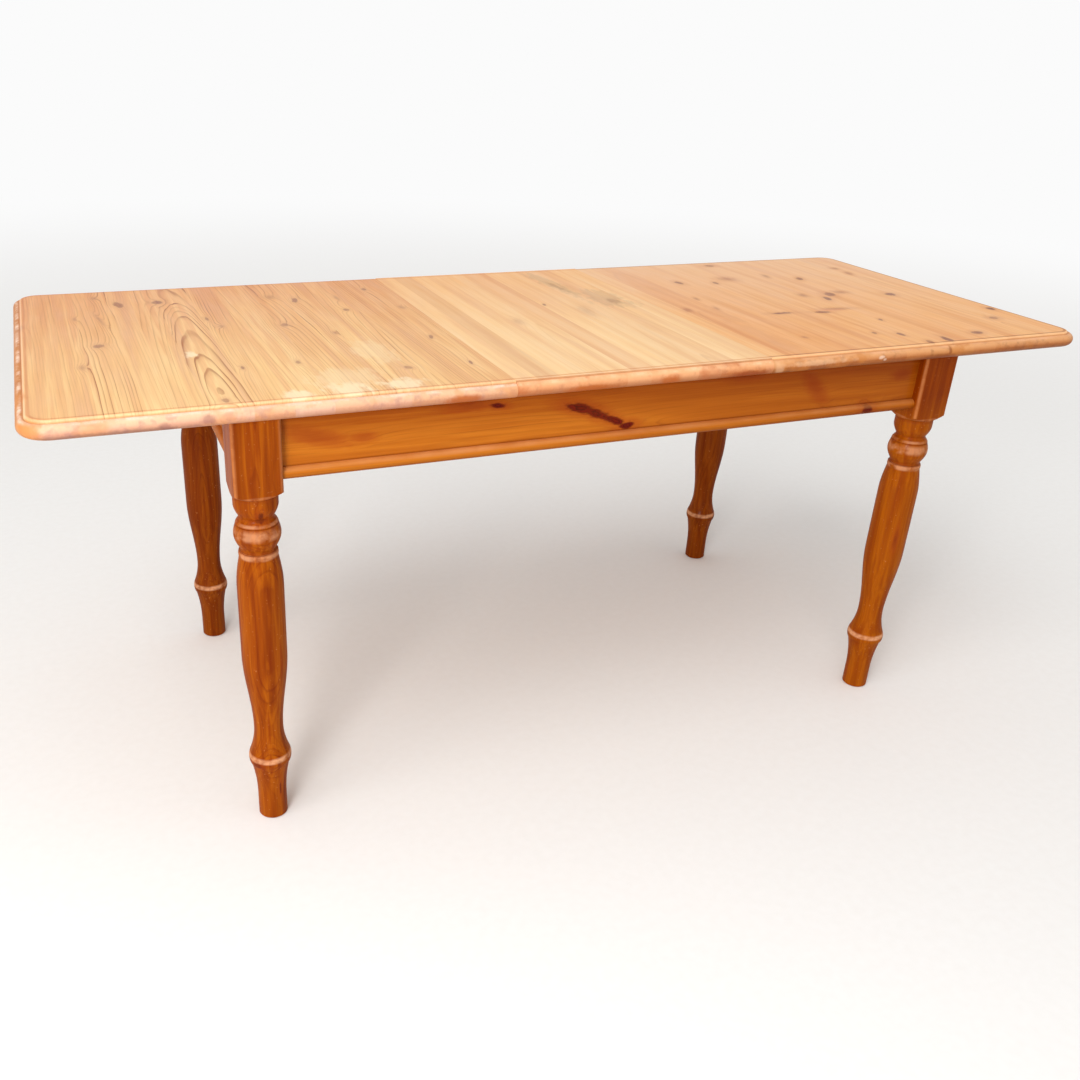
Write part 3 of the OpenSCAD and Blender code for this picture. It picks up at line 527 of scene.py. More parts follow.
# Right half: more orange, with many dark knots
rightTop = topLook(
    span=(234, 952),
    boards=[(234, 450, 0.0, 0.85, 0.6), (270, 305, 0.2, 0.35, 0.8), (340, 200, 0.1, 0.42, 0.6),
            (430, 600, 0.1, 0.55, 0.7), (520, 450, 0.3, 0.62, 0.8), (610, 740, 0.1, 0.5, 0.7),
            (700, 640, 0.1, 0.62, 0.6), (802, 850, 0.3, 0.75, 0.9), (880, 1010, 0.0, 0.6, 0.6)],
    late="#d0905c", bands=[(0.34, "#e8aa70"), (0.45, "#f0b97f"), (0.55, "#f6c48b"), (0.64, "#f2ba7f")],
    ring=4.4, taper=0.03, ringLow=0.05, ringHigh=0.7, wave=14, bump=0.3, fibre=0.06,
    tones=[(0.0, "#f2d3bb"), (0.5, "#faead9"), (1.0, "#fff8ea")],
    knots=inTop([(569, 331, 15, 11, 0), (396, 185, 9, 16, 0), (477, 165, 7, 12, -20),
                 (697, 160, 8, 16, -25), (662, 12, 13, 18, -25), (630, -20, 8, 17, -20),
                 (797, -18, 12, 15, -15), (453, -105, 24, 7, -4), (541, -117, 19, 8, -8),
                 (616, -197, 4.5, 9, -20), (917, -178, 9, 13, 0), (860, -242, 13, 10, 20),
                 (532, -277, 5, 8, -20), (576, -298, 6, 11, 0), (733, -325, 14, 10, 25),
                 (592, -355, 7, 12, -20), (638, -348, 8, 20, -10)]),
    faintKnots=inTop([(526, 195, 18, 18, 0), (636, 203, 6, 16, -15), (855, 185, 7, 16, -20),
                      (860, 240, 9, 10, 0), (350, 43, 4.5, 11, -10), (279, -38, 7, 14, -14),
                      (344, -40, 4.5, 13, -10), (597, 18, 9, 13, -10), (700, 25, 16, 12, 0),
                      (588, -100, 30, 8, -6), (380, -270, 5, 7, 0)]),
    knot="#9a5a3c", knotRim="#5e3a2e", knotHalo="#cd8659",
    after=[fading("Y", -200.0, 360.0, "#efc6a2", 0.5, "MIX")],
    worn=[patches(inTop([(305, -250, 34, 150, 0), (330, -90, 16, 90, 0)]), "#dd9a66", 0.5),
          mouldedEdge({"band": 10.6, "groove": 11, "blocks": 52,
                       "endShades": [(0.0, "#b05c18"), (0.25, "#c5803f"), (0.5, "#9f480b"), (0.75, "#b9682c"),
                                     (1.0, "#8d3d0d")],
                       "spots": "#73381c", "speckle": "#d68f58", "upper": "#f4ba84", "lower": "#6a3213",
                       "bare": "#c4762f", "rim": "#cdb9a4", "ends": "#b0652e", "rubbed": "#f0b588",
                       "quarter": ("#fbcb9a", 0.6)}),
          patches(onNose([(600, 741, 60, 8), (620, 752, 4, 10)]), "#7d3410", 0.55, 0.5),
          patches(onNose([(247, 749, 11, 13), (330, 753, 70, 5)]), "#efc39a", 0.4, 0.8),
          patches(onNose([(464, 752, 7, 3), (471, 748, 4, 3)]), "#f0cfb6", 0.6, 0.9),
          patches(inTop([(565, -106, 40, 9, -6)]), "#d98968", 0.35, 1.0)],
)


def showSmooth(mesh, angle=35):
    mesh.shade_smooth()
    mesh.set_sharp_from_angle(angle=radians(angle))


def finish(bm, name, body, material, nodes):
    # closes a mesh, gives it its body and material, and stands it for its CAD nodes
    bmesh.ops.remove_doubles(bm, verts=bm.verts, dist=weld)
    bmesh.ops.recalc_face_normals(bm, faces=bm.faces)
    mesh = bpy.data.meshes.new(name)
    bm.to_mesh(mesh)
    bm.free()
    showSmooth(mesh)
    mesh.materials.append(material)
    piece = bpy.data.objects.new(name, mesh)
    scene.collection.objects.link(piece)
    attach(piece, body)
    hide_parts(*nodes)
    return piece


def cutFlat(bm, point, normal):
    # cuts away what lies past a plane and closes the cut
    cut = bmesh.ops.bisect_plane(bm, geom=bm.verts[:] + bm.edges[:] + bm.faces[:], dist=1e-7,
                                 plane_co=point, plane_no=Vector(normal).normalized(), clear_outer=True)
    edges = [e for e in cut["geom_cut"] if isinstance(e, bmesh.types.BMEdge)]
    return bmesh.ops.edgeloop_fill(bm, edges=edges)["faces"]


# Tops: the slab's outline at the nosing's widest line, stepped in and up (or down) by insets
def slab(halfLength, corner, upSteps, downSteps, widest):
    bm = bmesh.new()
    for steps, way in ((upSteps, 1), (downSteps, -1)):
        side = bmesh.new()
        bmesh.ops.create_grid(side, x_segments=1, y_segments=1, size=1)
        bmesh.ops.scale(side, verts=side.verts, vec=(halfLength * mm, tableTop["halfWidth"] * mm, 1))
        if corner:
            bmesh.ops.bevel(side, geom=side.verts[:], offset=corner * mm, affect="VERTICES",
                            segments=tableTop["cornerSteps"], profile=0.5, material=-1)
        if way < 0:
            bmesh.ops.reverse_faces(side, faces=side.faces)
        bmesh.ops.translate(side, verts=side.verts, vec=(0, 0, (tableTop["under"] + widest) * mm))
        side.faces.ensure_lookup_table()
        centre = side.faces[0]
        for inwards, rise in steps:
            bmesh.ops.inset_region(side, faces=[centre], thickness=inwards * mm, depth=rise * mm,
                                   use_even_offset=True, use_boundary=True)
        part = bpy.data.meshes.new("slab side")
        side.to_mesh(part)
        side.free()
        bm.from_mesh(part)
        bpy.data.meshes.remove(part)
    bmesh.ops.remove_doubles(bm, verts=bm.verts, dist=weld)
    return bm


def roundSteps(radius, upTo, count):
    # a round from its widest line to an angle, as steps in and up
    angles = [radians(upTo) * i / count for i in range(count + 1)]
    return [(radius * (cos(a) - cos(b)), radius * (sin(b) - sin(a))) for a, b in zip(angles, angles[1:])]


# The half tops' edge is a nosing, a quirk and a quarter round that drops from the flat top; the
# leaf's is a nosing that ends in a small step. Lean keeps each upright wall a hair off upright
halfEdge = {
    "nose": 11.5, "quirkAngle": 78, "border": 16, "drop": 4, "quirk": 0.8, "flat": 1.5, "lean": 0.05,
    "noseSteps": 12, "dropSteps": 6, "underSteps": 10,
}
leafEdge = {
    "nose": 12.6, "border": 10, "flat": 1.5, "lean": 0.05, "noseSteps": 12, "underSteps": 10,
}
# Slots in the leaf's joint edges, open below, in which the half tops' pegs lie
leafSlots = {"deep": 12.2, "wide": 9, "high": 18, "at": (-260, 0, 260)}


def halfSteps(edge):
    noseIn = edge["nose"] * (1 - cos(radians(edge["quirkAngle"])))
    noseUp = edge["nose"] * sin(radians(edge["quirkAngle"]))
    quirkLow = tableTop["thick"] - edge["drop"] - edge["quirk"] - edge["nose"]
    up = roundSteps(edge["nose"], edge["quirkAngle"], edge["noseSteps"])
    up += [(edge["border"] - edge["drop"] - noseIn, quirkLow - noseUp), (edge["lean"], edge["quirk"])]
    up += roundSteps(edge["drop"], 90, edge["dropSteps"]) + [(edge["flat"], 0)]
    return up, roundSteps(edge["nose"], 90, edge["underSteps"]) + [(edge["flat"], 0)]


def leafSteps(edge):
    stepAngle = acos((edge["nose"] - edge["border"]) / edge["nose"])
    stepUp = tableTop["thick"] - edge["nose"] - edge["nose"] * sin(stepAngle)
    up = roundSteps(edge["nose"], degrees(stepAngle), edge["noseSteps"])
    up += [(edge["lean"], stepUp), (edge["flat"], 0)]
    return up, roundSteps(edge["nose"], 90, edge["underSteps"]) + [(edge["flat"], 0)]


def cutSlots(piece, slots):
    bm = bmesh.new()
    for side in (-1, 1):
        for y in slots["at"]:
            box = bmesh.ops.create_cube(bm, size=2)["verts"]
            size = (slots["deep"], slots["wide"] / 2, slots["high"])
            bmesh.ops.scale(bm, verts=box, vec=[v * mm for v in size])
            place = (side * tableTop["leafHalf"], y, tableTop["under"])
            bmesh.ops.translate(bm, verts=box, vec=[v * mm for v in place])
    mesh = bpy.data.meshes.new("slot cutter")
    bm.to_mesh(mesh)
    bm.free()
    cutter = bpy.data.objects.new("slot cutter", mesh)
    scene.collection.objects.link(cutter)
    cut = piece.modifiers.new("slots", "BOOLEAN")
    cut.object, cut.operation, cut.solver = cutter, "DIFFERENCE", "EXACT"
    bpy.context.view_layer.update()
    done = bpy.data.meshes.new_from_object(piece.evaluated_get(bpy.context.evaluated_depsgraph_get()))
    piece.modifiers.clear()
    piece.data = done
    bpy.data.objects.remove(cutter)
    showSmooth(done)


for name, side, look in (("left", -1, leftTop), ("right", 1, rightTop)):
    bm = slab(tableTop["halfLength"], tableTop["corner"], *halfSteps(halfEdge), halfEdge["nose"])
    cutFlat(bm, (side * tableTop["joint"] * mm, 0, 0), (-side, 0, 0))
    wood = pine("varnished pine, " + name + " top", look)
    finish(bm, "half_top_" + name + "_moulded", name + "_half", wood, ["half_top_" + name])
bm = slab(tableTop["halfLength"], 0, *leafSteps(leafEdge), leafEdge["nose"])
for side in (-1, 1):
    cutFlat(bm, (side * tableTop["leafHalf"] * mm, 0, 0), (side, 0, 0))
leaf = finish(bm, "leaf_moulded", "leaf", pine("varnished pine, leaf", leafTop), ["leaf_panel"])
cutSlots(leaf, leafSlots)
print("tops made")


# Legs, turned from square pine
legShape = {
    "half": 37, "turned": 606.5, "under": 738, "shoulder": 12, "arris": 3, "innerArris": 11,
    "outline": [
        # kind, from height, to height, from radius, to radius
        ("flat", 2, 45, 24.4, 24.4), ("sweptOut", 45, 112.9, 24.4, 32.8),
        ("bead", 112.9, 132, 34, 35.7), ("sweptIn", 132, 181.8, 34, 24.3),
        ("eased", 181.8, 325, 24.3, 36.8), ("rounded", 450, 503.5, 36.8, 30.2),
        ("bead", 503.5, 512.5, 30.2, 31), ("flat", 512.5, 518.5, 27.6, 27.4),
        ("swollen", 518.5, 541.5, 28.2, 36.7), ("rounded", 541.5, 558, 36.7, 33.2),
        ("flat", 558, 559, 32.4, 32.4), ("rounded", 559, 565, 33, 30), ("sweptIn", 565, 571.5, 30, 26.8),
        ("swollen", 571.5, 592, 27, 34.6), ("flat", 592, 606.5, 34.6, 34.6)],
    "foot": 2, "steps": 14, "round": 96, "ease": 0.7, "sharpFrom": 20,
}


def outlinePoints(shape):
    def between(kind, low, high, start, end):
        count = 1 if kind == "flat" else shape["steps"]
        if kind == "bead":
            # an arc through both ends whose crown is at the second radius
            half, rise = (high - low) / 2, end - start
            bow = (half * half + rise * rise) / (2 * rise)
            angles = [asin(half / bow) * (2 * i / count - 1) for i in range(count + 1)]
            return [(end - bow + bow * cos(a), (low + high) / 2 + bow * sin(a)) for a in angles]
        bend = {
            "flat": lambda u: start,
            "sweptOut": lambda u: start + (end - start) * u * u,
            "sweptIn": lambda u: end + (start - end) * (1 - u) ** 2,
            "eased": lambda u: start + (end - start) * (1 - cos(pi * u)) / 2,
            "rounded": lambda u: end + (start - end) * cos(pi * u / 2),
            "swollen": lambda u: start + (end - start) * sin(pi * u / 2),
        }[kind]
        return [(bend(i / count), low + (high - low) * i / count) for i in range(count + 1)]

    points = [(0, 0), (shape["outline"][0][3] - shape["foot"], 0)]
    for stretch in shape["outline"]:
        points += between(*stretch)
    clear = shape["half"] * 2 ** 0.5 + 1    # past the block's corners
    return points + [(clear, shape["turned"] + shape["shoulder"]), (clear, shape["under"]),
                     (0, shape["under"])]


def turnedLeg(name, side, shape):
    low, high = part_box(name)
    axis = ((low[0] + high[0]) / 2, (low[1] + high[1]) / 2)
    bm = bmesh.new()
    points = []
    for r, z in outlinePoints(shape):
        if not points or (r, z) != points[-1]:
            points.append((r, z))
    verts = [bm.verts.new((r * mm, 0, z * mm)) for r, z in points]
    edges = [bm.edges.new(pair) for pair in zip(verts, verts[1:])]
    bmesh.ops.spin(bm, geom=verts + edges, cent=(0, 0, 0), axis=(0, 0, 1), angle=2 * pi,
                   steps=shape["round"], use_merge=True)
    bmesh.ops.remove_doubles(bm, verts=bm.verts, dist=weld)
    half = shape["half"] * mm
    for x, y in ((1, 0), (-1, 0), (0, 1), (0, -1)):
        cutFlat(bm, (x * half, y * half, 0), (x, y, 0))
    for x, y in ((1, 1), (1, -1), (-1, 1), (-1, -1)):
        inner = x == -side[0] and y == -side[1]
        arris = (shape["innerArris"] if inner else shape["arris"]) * mm
        cutFlat(bm, (x * half, y * (half - arris), 0), (x, y, 0))
    # ease the block's edges, the curved ones over the turning too
    bmesh.ops.remove_doubles(bm, verts=bm.verts, dist=weld)
    bm.normal_update()
    sharp = []
    for edge in bm.edges:
        lowest, highest = sorted(v.co.z / mm for v in edge.verts)
        onBlock = lowest > shape["turned"] + 0.5 and highest < shape["under"] + 0.001
        onTop = lowest > shape["under"] - 0.001
        folded = len(edge.link_faces) == 2 and edge.calc_face_angle() > radians(shape["sharpFrom"])
        if onBlock and folded and not onTop:
            sharp.append(edge)
    bmesh.ops.bevel(bm, geom=sharp, offset=shape["ease"] * mm, affect="EDGES", segments=2, profile=0.5,
                    material=-1)
    bmesh.ops.translate(bm, verts=bm.verts, vec=(axis[0], axis[1], 0))
    return bm, axis


# Wear of the turnings, and painted shade and highlights on them, by height in millimetres
legWearAndLight = {
    # painted shade in the hollows of the turning
    "hollowShade": "#8a3a0d", "hollows": ((512, 519), (557.5, 559.5), (569, 573), (602, 607)),
    "hollowMost": 0.4, "hollowFade": 2,
    # each bead and the ring, rubbed pale and lightened by a painted highlight: middle, half height, how much
    "bead": "#e8a97d",
    "beads": ((128, 6, 0.75), (547, 11, 0.42), (508, 6, 0.5), (562.5, 3, 0.4), (611, 3, 0.2)),
    # a noise of this scale breaks up what is rubbed, on the beads and on the block's arrises
    "rub": 0.05, "beadRub": (0.38, 0.6), "arrisRub": (0.3, 0.55, 0.3, 1.0),
    "arris": "#d28a55", "arrisFrom": (31.0, 35.5, 0.0, 0.5),
    "dent": "#cf8a54", "dents": 0.22, "dentFrom": (0.68, 0.76, 0.0, 0.5),
}


def turnedWearAndLight(put, here, place, streaks, shade):
    # the hollows get painted shade; the beads and the ring are rubbed pale and carry a painted
    # highlight, and the block's arrises are rubbed pale; the dents show bare wood
    rub = put("TexNoise", {"Vector": here, "Scale": legWearAndLight["rub"], "Detail": 4})
    layers = []
    for low, high in legWearAndLight["hollows"]:
        away = put("Math", put("Math", place["Z"], (low + high) / 2, operation="SUBTRACT"),
                   operation="ABSOLUTE")
        level = put("MapRange", away, (high - low) / 4, (high - low) / 2 + legWearAndLight["hollowFade"],
                    legWearAndLight["hollowMost"], 0.0)
        layers.append((level, legWearAndLight["hollowShade"]))
    for middle, half, most in legWearAndLight["beads"]:
        away = put("Math", put("Math", place["Z"], middle, operation="SUBTRACT"), operation="ABSOLUTE")
        level = put("MapRange", away, half * 0.4, half, most, 0.0)
        level = put("Math", level, put("MapRange", rub, *legWearAndLight["beadRub"]), operation="MULTIPLY")
        layers.append((level, legWearAndLight["bead"]))
    arris = put("Math", *[put("Math", place[axis], operation="ABSOLUTE") for axis in "XY"],
                operation="MINIMUM")
    arris = put("MapRange", arris, *legWearAndLight["arrisFrom"])
    arris = put("Math", arris, put("MapRange", rub, *legWearAndLight["arrisRub"]), operation="MULTIPLY")
    dents = put("TexNoise", {"Vector": here, "Scale": legWearAndLight["dents"], "Detail": 2})
    dents = put("MapRange", dents, *legWearAndLight["dentFrom"])
    layers += [(arris, legWearAndLight["arris"]), (dents, legWearAndLight["dent"])]
    for level, colour in layers:
        shade = put("Mix", {0: level, 6: shade, 7: linear(colour)}, out=2, data_type="RGBA")
    return shade


def legLook(axis, own):
    return {
        "axes": "ZXY", "centre": (axis[0] / mm, axis[1] / mm, 0), "span": (-40, 40),
        "boards": [(-40, *own["heart"], 0.5, 1.0)], "shallowest": -60, "deepest": 120,
        "waveLength": 400, "waveWidth": 50, "wave": 7, "taper": own["taper"], "push": 6, "ring": 3.1,
        "ringLow": own["rings"][0], "ringHigh": own["rings"][1], "palest": 0.15, "bandLength": 320,
        "bandWidth": 14, "late": own["late"], "bands": own["bands"], "tones": evenTone,
        "knots": own["knots"], "faintKnots": own["faintKnots"],
        "knot": "#5e1c10", "knotRim": "#3f0f0c", "knotHalo": "#9a3d12", "knotDepth": 0.92,
        "faint": 0.4, "halo": 0.4, "bump": 0.2, "rough": (0.34, 0.46), "coat": 0.06,
        "coatRough": 0.14, "fibre": 0.12, "specular": 0.02,
        # painted shade: towards its top the block takes on the leg's block tone, where one is given
        "worn": [fading("Z", 600.0, 660.0, own.get("block", "#ffffff")), turnedWearAndLight],
    }


redPine = [(0.34, "#823504"), (0.46, "#944305"), (0.56, "#a65309"), (0.66, "#923f05")]
goldenPine = [(0.34, "#8e3d03"), (0.46, "#984804"), (0.56, "#a65406"), (0.66, "#964503")]
# painted shade: the back legs stand in the table's shadow, so their bands and their latewood are darker
shadedPine = [(0.34, "#702b03"), (0.46, "#7f3604"), (0.56, "#8d4307"), (0.66, "#7c3404")]
legs = {
    "leg_front_left": {
        "side": (-1, -1), "heart": (-2, 0.95), "taper": 0.0, "rings": (0.15, 0.85), "late": "#6d2003",
        "bands": redPine,
        "knots": [((1, -26, 572), (9, 12, 6), (0, 0, 0)), ((1, -28, 580), (5, 12, 9), (0, 0, 0)),
                  ((-26, -22, 119), (9, 9, 7), (0, 0, 0)), ((10, -24, 62), (2, 6, 16), (0, 0, 0))],
        "faintKnots": [((30, -20, 640), (5, 9, 8), (0, 0, 0))],
    },
    "leg_front_right": {
        "side": (1, -1), "heart": (28, 0.8), "taper": -0.04, "rings": (0.0, 0.28), "late": "#6d2803",
        # its block tone is painted shade, for the shadow under the top
        "bands": goldenPine, "block": "#dcbfa0",
        "knots": [((20, 30, 300), (8, 9, 9), (0, 0, 0))],
        "faintKnots": [((-12, -30, 360), (4, 9, 22), (0, 0, 0))],
    },
    "leg_back_left": {
        "side": (-1, 1), "heart": (-8, 0.1), "taper": 0.045, "rings": (0.1, 0.6), "late": "#571a02",
        "bands": shadedPine,
        "knots": [((22, -30, 668), (7, 9, 5), (0, 0, 0))],
        "faintKnots": [((-20, 20, 380), (6, 9, 12), (0, 0, 0))],
    },
    "leg_back_right": {
        "side": (1, 1), "heart": (16, 0.3), "taper": -0.05, "rings": (0.1, 0.6), "late": "#571a02",
        "bands": shadedPine,
        "knots": [((-24, 18, 250), (8, 9, 8), (0, 0, 0))],
        "faintKnots": [((10, -30, 420), (4, 9, 18), (0, 0, 0))],
    },
}
for name, own in legs.items():
    bm, axis = turnedLeg(name, own["side"], legShape)
    wood = pine("varnished pine, " + name.replace("_", " "), legLook(axis, own))
    finish(bm, name + "_turned", "frame", wood, [name])
print("legs made")


# Aprons and their beads: honey-coloured varnish over straight grain
def apronLook(along, across, deep, face, heart, **own):
    low, high = 630, 740    # a little past the bead's lower edge and the apron's upper one
    look = {
        "axes": along + across + deep, "span": (low, high), "boards": [(low, *heart, 0.5, 1.0)],
        "shallowest": face[0], "deepest": face[1] - face[0],
        "waveLength": 500, "waveWidth": 50, "wave": 12, "taper": 0.012, "push": 9, "ring": 3.6,
        "ringLow": 0.05, "ringHigh": 0.55, "palest": 0.1, "bandLength": 500, "bandWidth": 18,
        "late": "#8a3f0a",
        "bands": [(0.34, "#b25f14"), (0.46, "#bb6718"), (0.56, "#c4711d"), (0.66, "#b66215")],
        "tones": evenTone, "knots": noKnots, "faintKnots": noKnots,
        "knot": "#761405", "knotRim": "#3e0703", "knotHalo": "#a3400f", "knotDepth": 0.97,
        "knotPalest": 0.85, "faint": 0.15, "halo": 0.5, "bump": 0.15, "rough": (0.34, 0.46), "coat": 0.1,
        "coatRough": 0.14, "fibre": 0.07, "specular": 0.02,
    }
    look.update(own)
    return look


frontKnots = onFront([(-102, 697, 32, 9, 14), (-72, 685, 42, 8.5, 24), (-38, 670, 28, 7, 24),
                      (-13, 659, 17, 7, -6), (-250, 715, 15, 4.5, 10), (487, 642, 13, 10, 0)])
frontFaint = onFront([(-300, 717, 30, 5, 0), (-540, 692, 32, 8, 15), (368, 690, 9, 24, -45),
                      (212, 727, 28, 7, 0), (-470, 684, 14, 5, 0), (560, 700, 14, 6, 0)])
aprons = {
    # the way it runs and faces, where its outer face and the tree's heart lie, and the way out
    "front": {"along": "X", "deep": "Y", "face": (-337, -300), "heart": (652, 0.9), "out": (0, -1),
              "knots": frontKnots, "faintKnots": frontFaint},
    "back": {"along": "X", "deep": "Y", "face": (337, 380), "heart": (707, 0.8), "out": (0, 1),
             "knots": onFront([(210, 690, 12, 8, 0), (-420, 662, 8, 6, 0)]),
             "faintKnots": onFront([(-120, 700, 22, 7, 12), (440, 712, 16, 6, 0)])},
    "left": {"along": "Y", "deep": "X", "face": (-653, -620), "heart": (663, 0.8), "out": (-1, 0),
             "knots": onEnd([(90, 700, 9, 7, 0)]), "faintKnots": onEnd([(-160, 676, 18, 6, 0)])},
    "right": {"along": "Y", "deep": "X", "face": (653, 690), "heart": (718, 0.7), "out": (1, 0),
              "knots": onEnd([(-60, 680, 10, 7, 0)]), "faintKnots": onEnd([(150, 705, 16, 6, 0)])},
}


def beadPiece(name, along, out):
    # half of a round bar that lies against the apron
    low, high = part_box(name)
    radius = (high[2] - low[2]) / 2
    run = "XY".index(along)
    wall = 1 - run
    centre = Vector([(a + b) / 2 for a, b in zip(low, high)])
    centre[wall] = high[wall] if out[wall] < 0 else low[wall]
    turn = Matrix.Rotation(pi / 2, 4, "YX"[run])
    bm = bmesh.new()
    bmesh.ops.create_cone(bm, cap_ends=True, segments=64, radius1=radius, radius2=radius,
                          depth=high[run] - low[run], matrix=Matrix.Translation(centre) @ turn)
    cutFlat(bm, centre, (-out[0], -out[1], 0))
    return bm


# Rubbed wear and a painted highlight on the bead's crown, painted shade under the bead and in the corner
# above it, by height in millimetres
beadWearAndLight = {
    "crown": (643.0, 648.0), "crownColour": "#dd9860", "rub": 0.012, "rubbed": (0.4, 0.65, 0.3, 0.65),
    "under": (634.0, 643.0, 0.6, 0.0), "underColour": "#7a3a12",
    "corner": 651.5, "cornerColour": "#6e2c08", "cornerFade": (0.8, 2.6, 0.45, 0.0),
}


def beadRubAndLight(put, here, place, streaks, shade):
    # the crown is rubbed pale in stretches and lightened by a painted highlight; the underside gets painted
    # shade
    rub = put("TexNoise", {"Vector": here, "Scale": beadWearAndLight["rub"], "Detail": 6})
    crown = put("MapRange", place["Z"], *beadWearAndLight["crown"])
    crown = put("Math", put("MapRange", rub, *beadWearAndLight["rubbed"]), crown, operation="MULTIPLY")
    under = put("MapRange", place["Z"], *beadWearAndLight["under"])
    for level, colour in ((crown, beadWearAndLight["crownColour"]), (under, beadWearAndLight["underColour"])):
        shade = put("Mix", {0: level, 6: shade, 7: linear(colour)}, out=2, data_type="RGBA")
    return shade


def shadedCorner(put, here, place, streaks, shade):
    # painted shade in the corner above the bead
    away = put("Math", put("Math", place["Z"], beadWearAndLight["corner"], operation="SUBTRACT"),
               operation="ABSOLUTE")
    level = put("MapRange", away, *beadWearAndLight["cornerFade"])
    return put("Mix", {0: level, 6: shade, 7: linear(beadWearAndLight["cornerColour"])}, out=2, data_type="RGBA")


dressed = set()


def dress(nodes, material):
    for name in nodes:
        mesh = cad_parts[name].data
        mesh.materials.clear()
        mesh.materials.append(material)
        dressed.add(name)


# painted shade: darker under the top's overhang, and darker towards the right
overhangShade = fading("Z", 672.0, 730.0, "#cfb595")
rightwardsShade = fading("X", -150.0, 650.0, "#e3d3bd")
for side, own in aprons.items():
    shared = (own["along"], "Z", own["deep"], own["face"])
    knots = {"knots": own["knots"], "faintKnots": own["faintKnots"]}
    look = apronLook(*shared, own["heart"], **knots, worn=[shadedCorner, overhangShade, rightwardsShade])
    dress(["apron_" + side], pine("varnished pine, " + side + " apron", look))
    look = apronLook(*shared, (735, 0.5), **knots, worn=[beadRubAndLight, rightwardsShade])
    finish(beadPiece("bead_" + side, own["along"], own["out"]), "bead_" + side + "_rounded", "frame",
           pine("varnished pine, " + side + " bead", look), ["bead_" + side])
print("aprons made")


# Inside of the frame: planed pine left bare, paler and duller than the varnished faces
def bareLook(axes, heart=(-200, 0.3), **own):
    look = {
        "axes": axes, "span": (-1000, 1000), "boards": [(-1000, *heart, 0.5, 1.0)],
        "shallowest": 600, "deepest": 60, "waveLength": 300, "waveWidth": 50, "wave": 16,
        "taper": 0.02, "push": 0, "ring": 4.5, "ringLow": 0.2, "ringHigh": 0.8, "bandLength": 300,
        "bandWidth": 24, "palest": 0.3, "late": "#b88650",
        "bands": [(0.36, "#d4a670"), (0.5, "#e0b882"), (0.62, "#e6c190")], "tones": evenTone,
        "knots": noKnots, "faintKnots": noKnots,
        "knot": "#7a4a34", "knotRim": "#5f3526", "knotHalo": "#c08a5e",
        "knotDepth": 0.8, "faint": 0.3, "halo": 0.3, "bump": 0.35, "rough": (0.6, 0.75), "coat": 0.0,
        "coatRough": 0.3, "fibre": 0.12,
    }
    look.update(own)
    return look


bareWoods = [
    (["cross_rail_left", "cross_rail_centre", "cross_rail_right"], "rails", bareLook("YXZ")),
    (["rail_glue_blocks"], "blocks", bareLook("ZXY", heart=(100, 0.0), shallowest=-200, deepest=400)),
    (["leaf_batten_front", "leaf_batten_back"], "battens", bareLook("XYZ", heart=(-60, 0.5))),
    (["brace_front_left", "brace_back_right"], "braces", bareLook("XYZ", heart=(-120, 0.2), turn=45)),
    (["brace_front_right", "brace_back_left"], "braces", bareLook("XYZ", heart=(-120, 0.2), turn=-45)),
]
for nodes, use, look in bareWoods:
    dress(nodes, pine("bare pine, " + use, look))


# Beech for the runners, guides and pegs: pale, close and even, with short dark flecks
beech = {
    # bands drawn out over 250 mm and 11 mm wide, and flecks of about 5 by 1 mm
    "band": (0.004, 0.09, 0.09), "bands": [(0.3, "#c99a6b"), (0.5, "#d9ae80"), (0.7, "#e2bb90")],
    "fleck": (0.22, 1.1, 1.1), "fleckFrom": (0.1, 0.3, 0.45, 0.0), "fleckColour": "#a8744a",
    "bump": 0.2, "relief": 0.3, "rough": (0.42, 0.56),
}


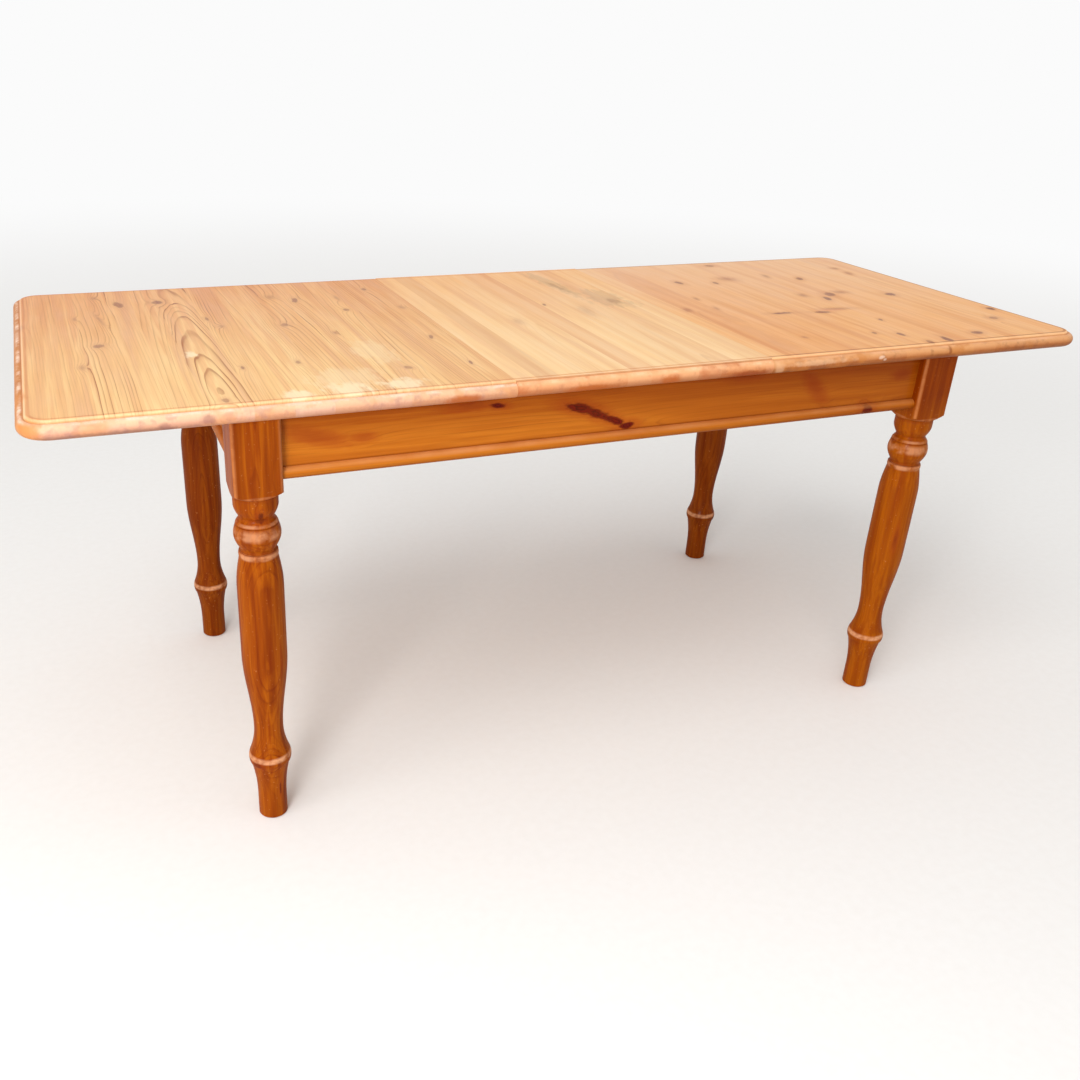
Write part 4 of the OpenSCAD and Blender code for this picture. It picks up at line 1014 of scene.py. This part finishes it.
def beechWood(look):
    material, tree = newMaterial("beech")
    put = partial(add, tree)
    here = put("VectorMath", {0: put("TexCoord", out="Object"), "Scale": inMillimetres}, operation="SCALE")
    long = put("VectorMath", here, look["band"], operation="MULTIPLY")
    bands = put("TexNoise", {"Vector": long, "Scale": 1.0, "Detail": 3})
    shade = put("ValToRGB", bands, stops=look["bands"])
    short = put("VectorMath", here, look["fleck"], operation="MULTIPLY")
    flecks = put("MapRange", put("TexVoronoi", {"Vector": short, "Scale": 1.0}), *look["fleckFrom"])
    shade = put("Mix", {0: flecks, 6: shade, 7: linear(look["fleckColour"])}, out=2, data_type="RGBA")
    bump = put("Bump", {"Height": bands, "Strength": look["bump"], "Distance": look["relief"] * mm})
    rough = put("MapRange", bands, 0.3, 0.7, *look["rough"])
    put("OutputMaterial", {"Surface": put("BsdfPrincipled", {
        "Base Color": shade, "Roughness": rough, "Normal": bump, "IOR": 1.5})})
    return material


# Zinc-plated steel for the bolts and screws: grey, with faint blue and yellow bloom
zinc = {
    "bloom": 0.3, "shades": [(0.35, "#a9adb3"), (0.55, "#bcbdbb"), (0.7, "#c3bda6")],
    "bump": 0.1, "relief": 0.1, "rough": (0.3, 0.46),
}


def zincSteel(look):
    material, tree = newMaterial("zinc-plated steel")
    put = partial(add, tree)
    here = put("VectorMath", {0: put("TexCoord", out="Object"), "Scale": inMillimetres}, operation="SCALE")
    bloom = put("TexNoise", {"Vector": here, "Scale": look["bloom"], "Detail": 4})
    shade = put("ValToRGB", bloom, stops=look["shades"])
    rough = put("MapRange", bloom, 0.3, 0.7, *look["rough"])
    bump = put("Bump", {"Height": bloom, "Strength": look["bump"], "Distance": look["relief"] * mm})
    put("OutputMaterial", {"Surface": put("BsdfPrincipled", {
        "Base Color": shade, "Roughness": rough, "Normal": bump, "Metallic": 1.0})})
    return material


runnerNames = ["guide_rail_front", "guide_rail_back"]
steelNames = ["hanger_bolts", "bolt_washers", "bolt_nuts", "brace_screws", "guide_screws",
              "leaf_batten_screws"]
for side in ("left", "right"):
    runnerNames += ["runner_" + side + "_front", "runner_" + side + "_back", "stop_pegs_" + side,
                    "joint_pegs_" + side]
    steelNames.append("runner_screws_" + side)
dress(runnerNames, beechWood(beech))
dress(steelNames, zincSteel(zinc))
bare = sorted(n for n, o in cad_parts.items() if not o.hide_render and n not in dressed)
print("inside dressed, left plain:", bare)
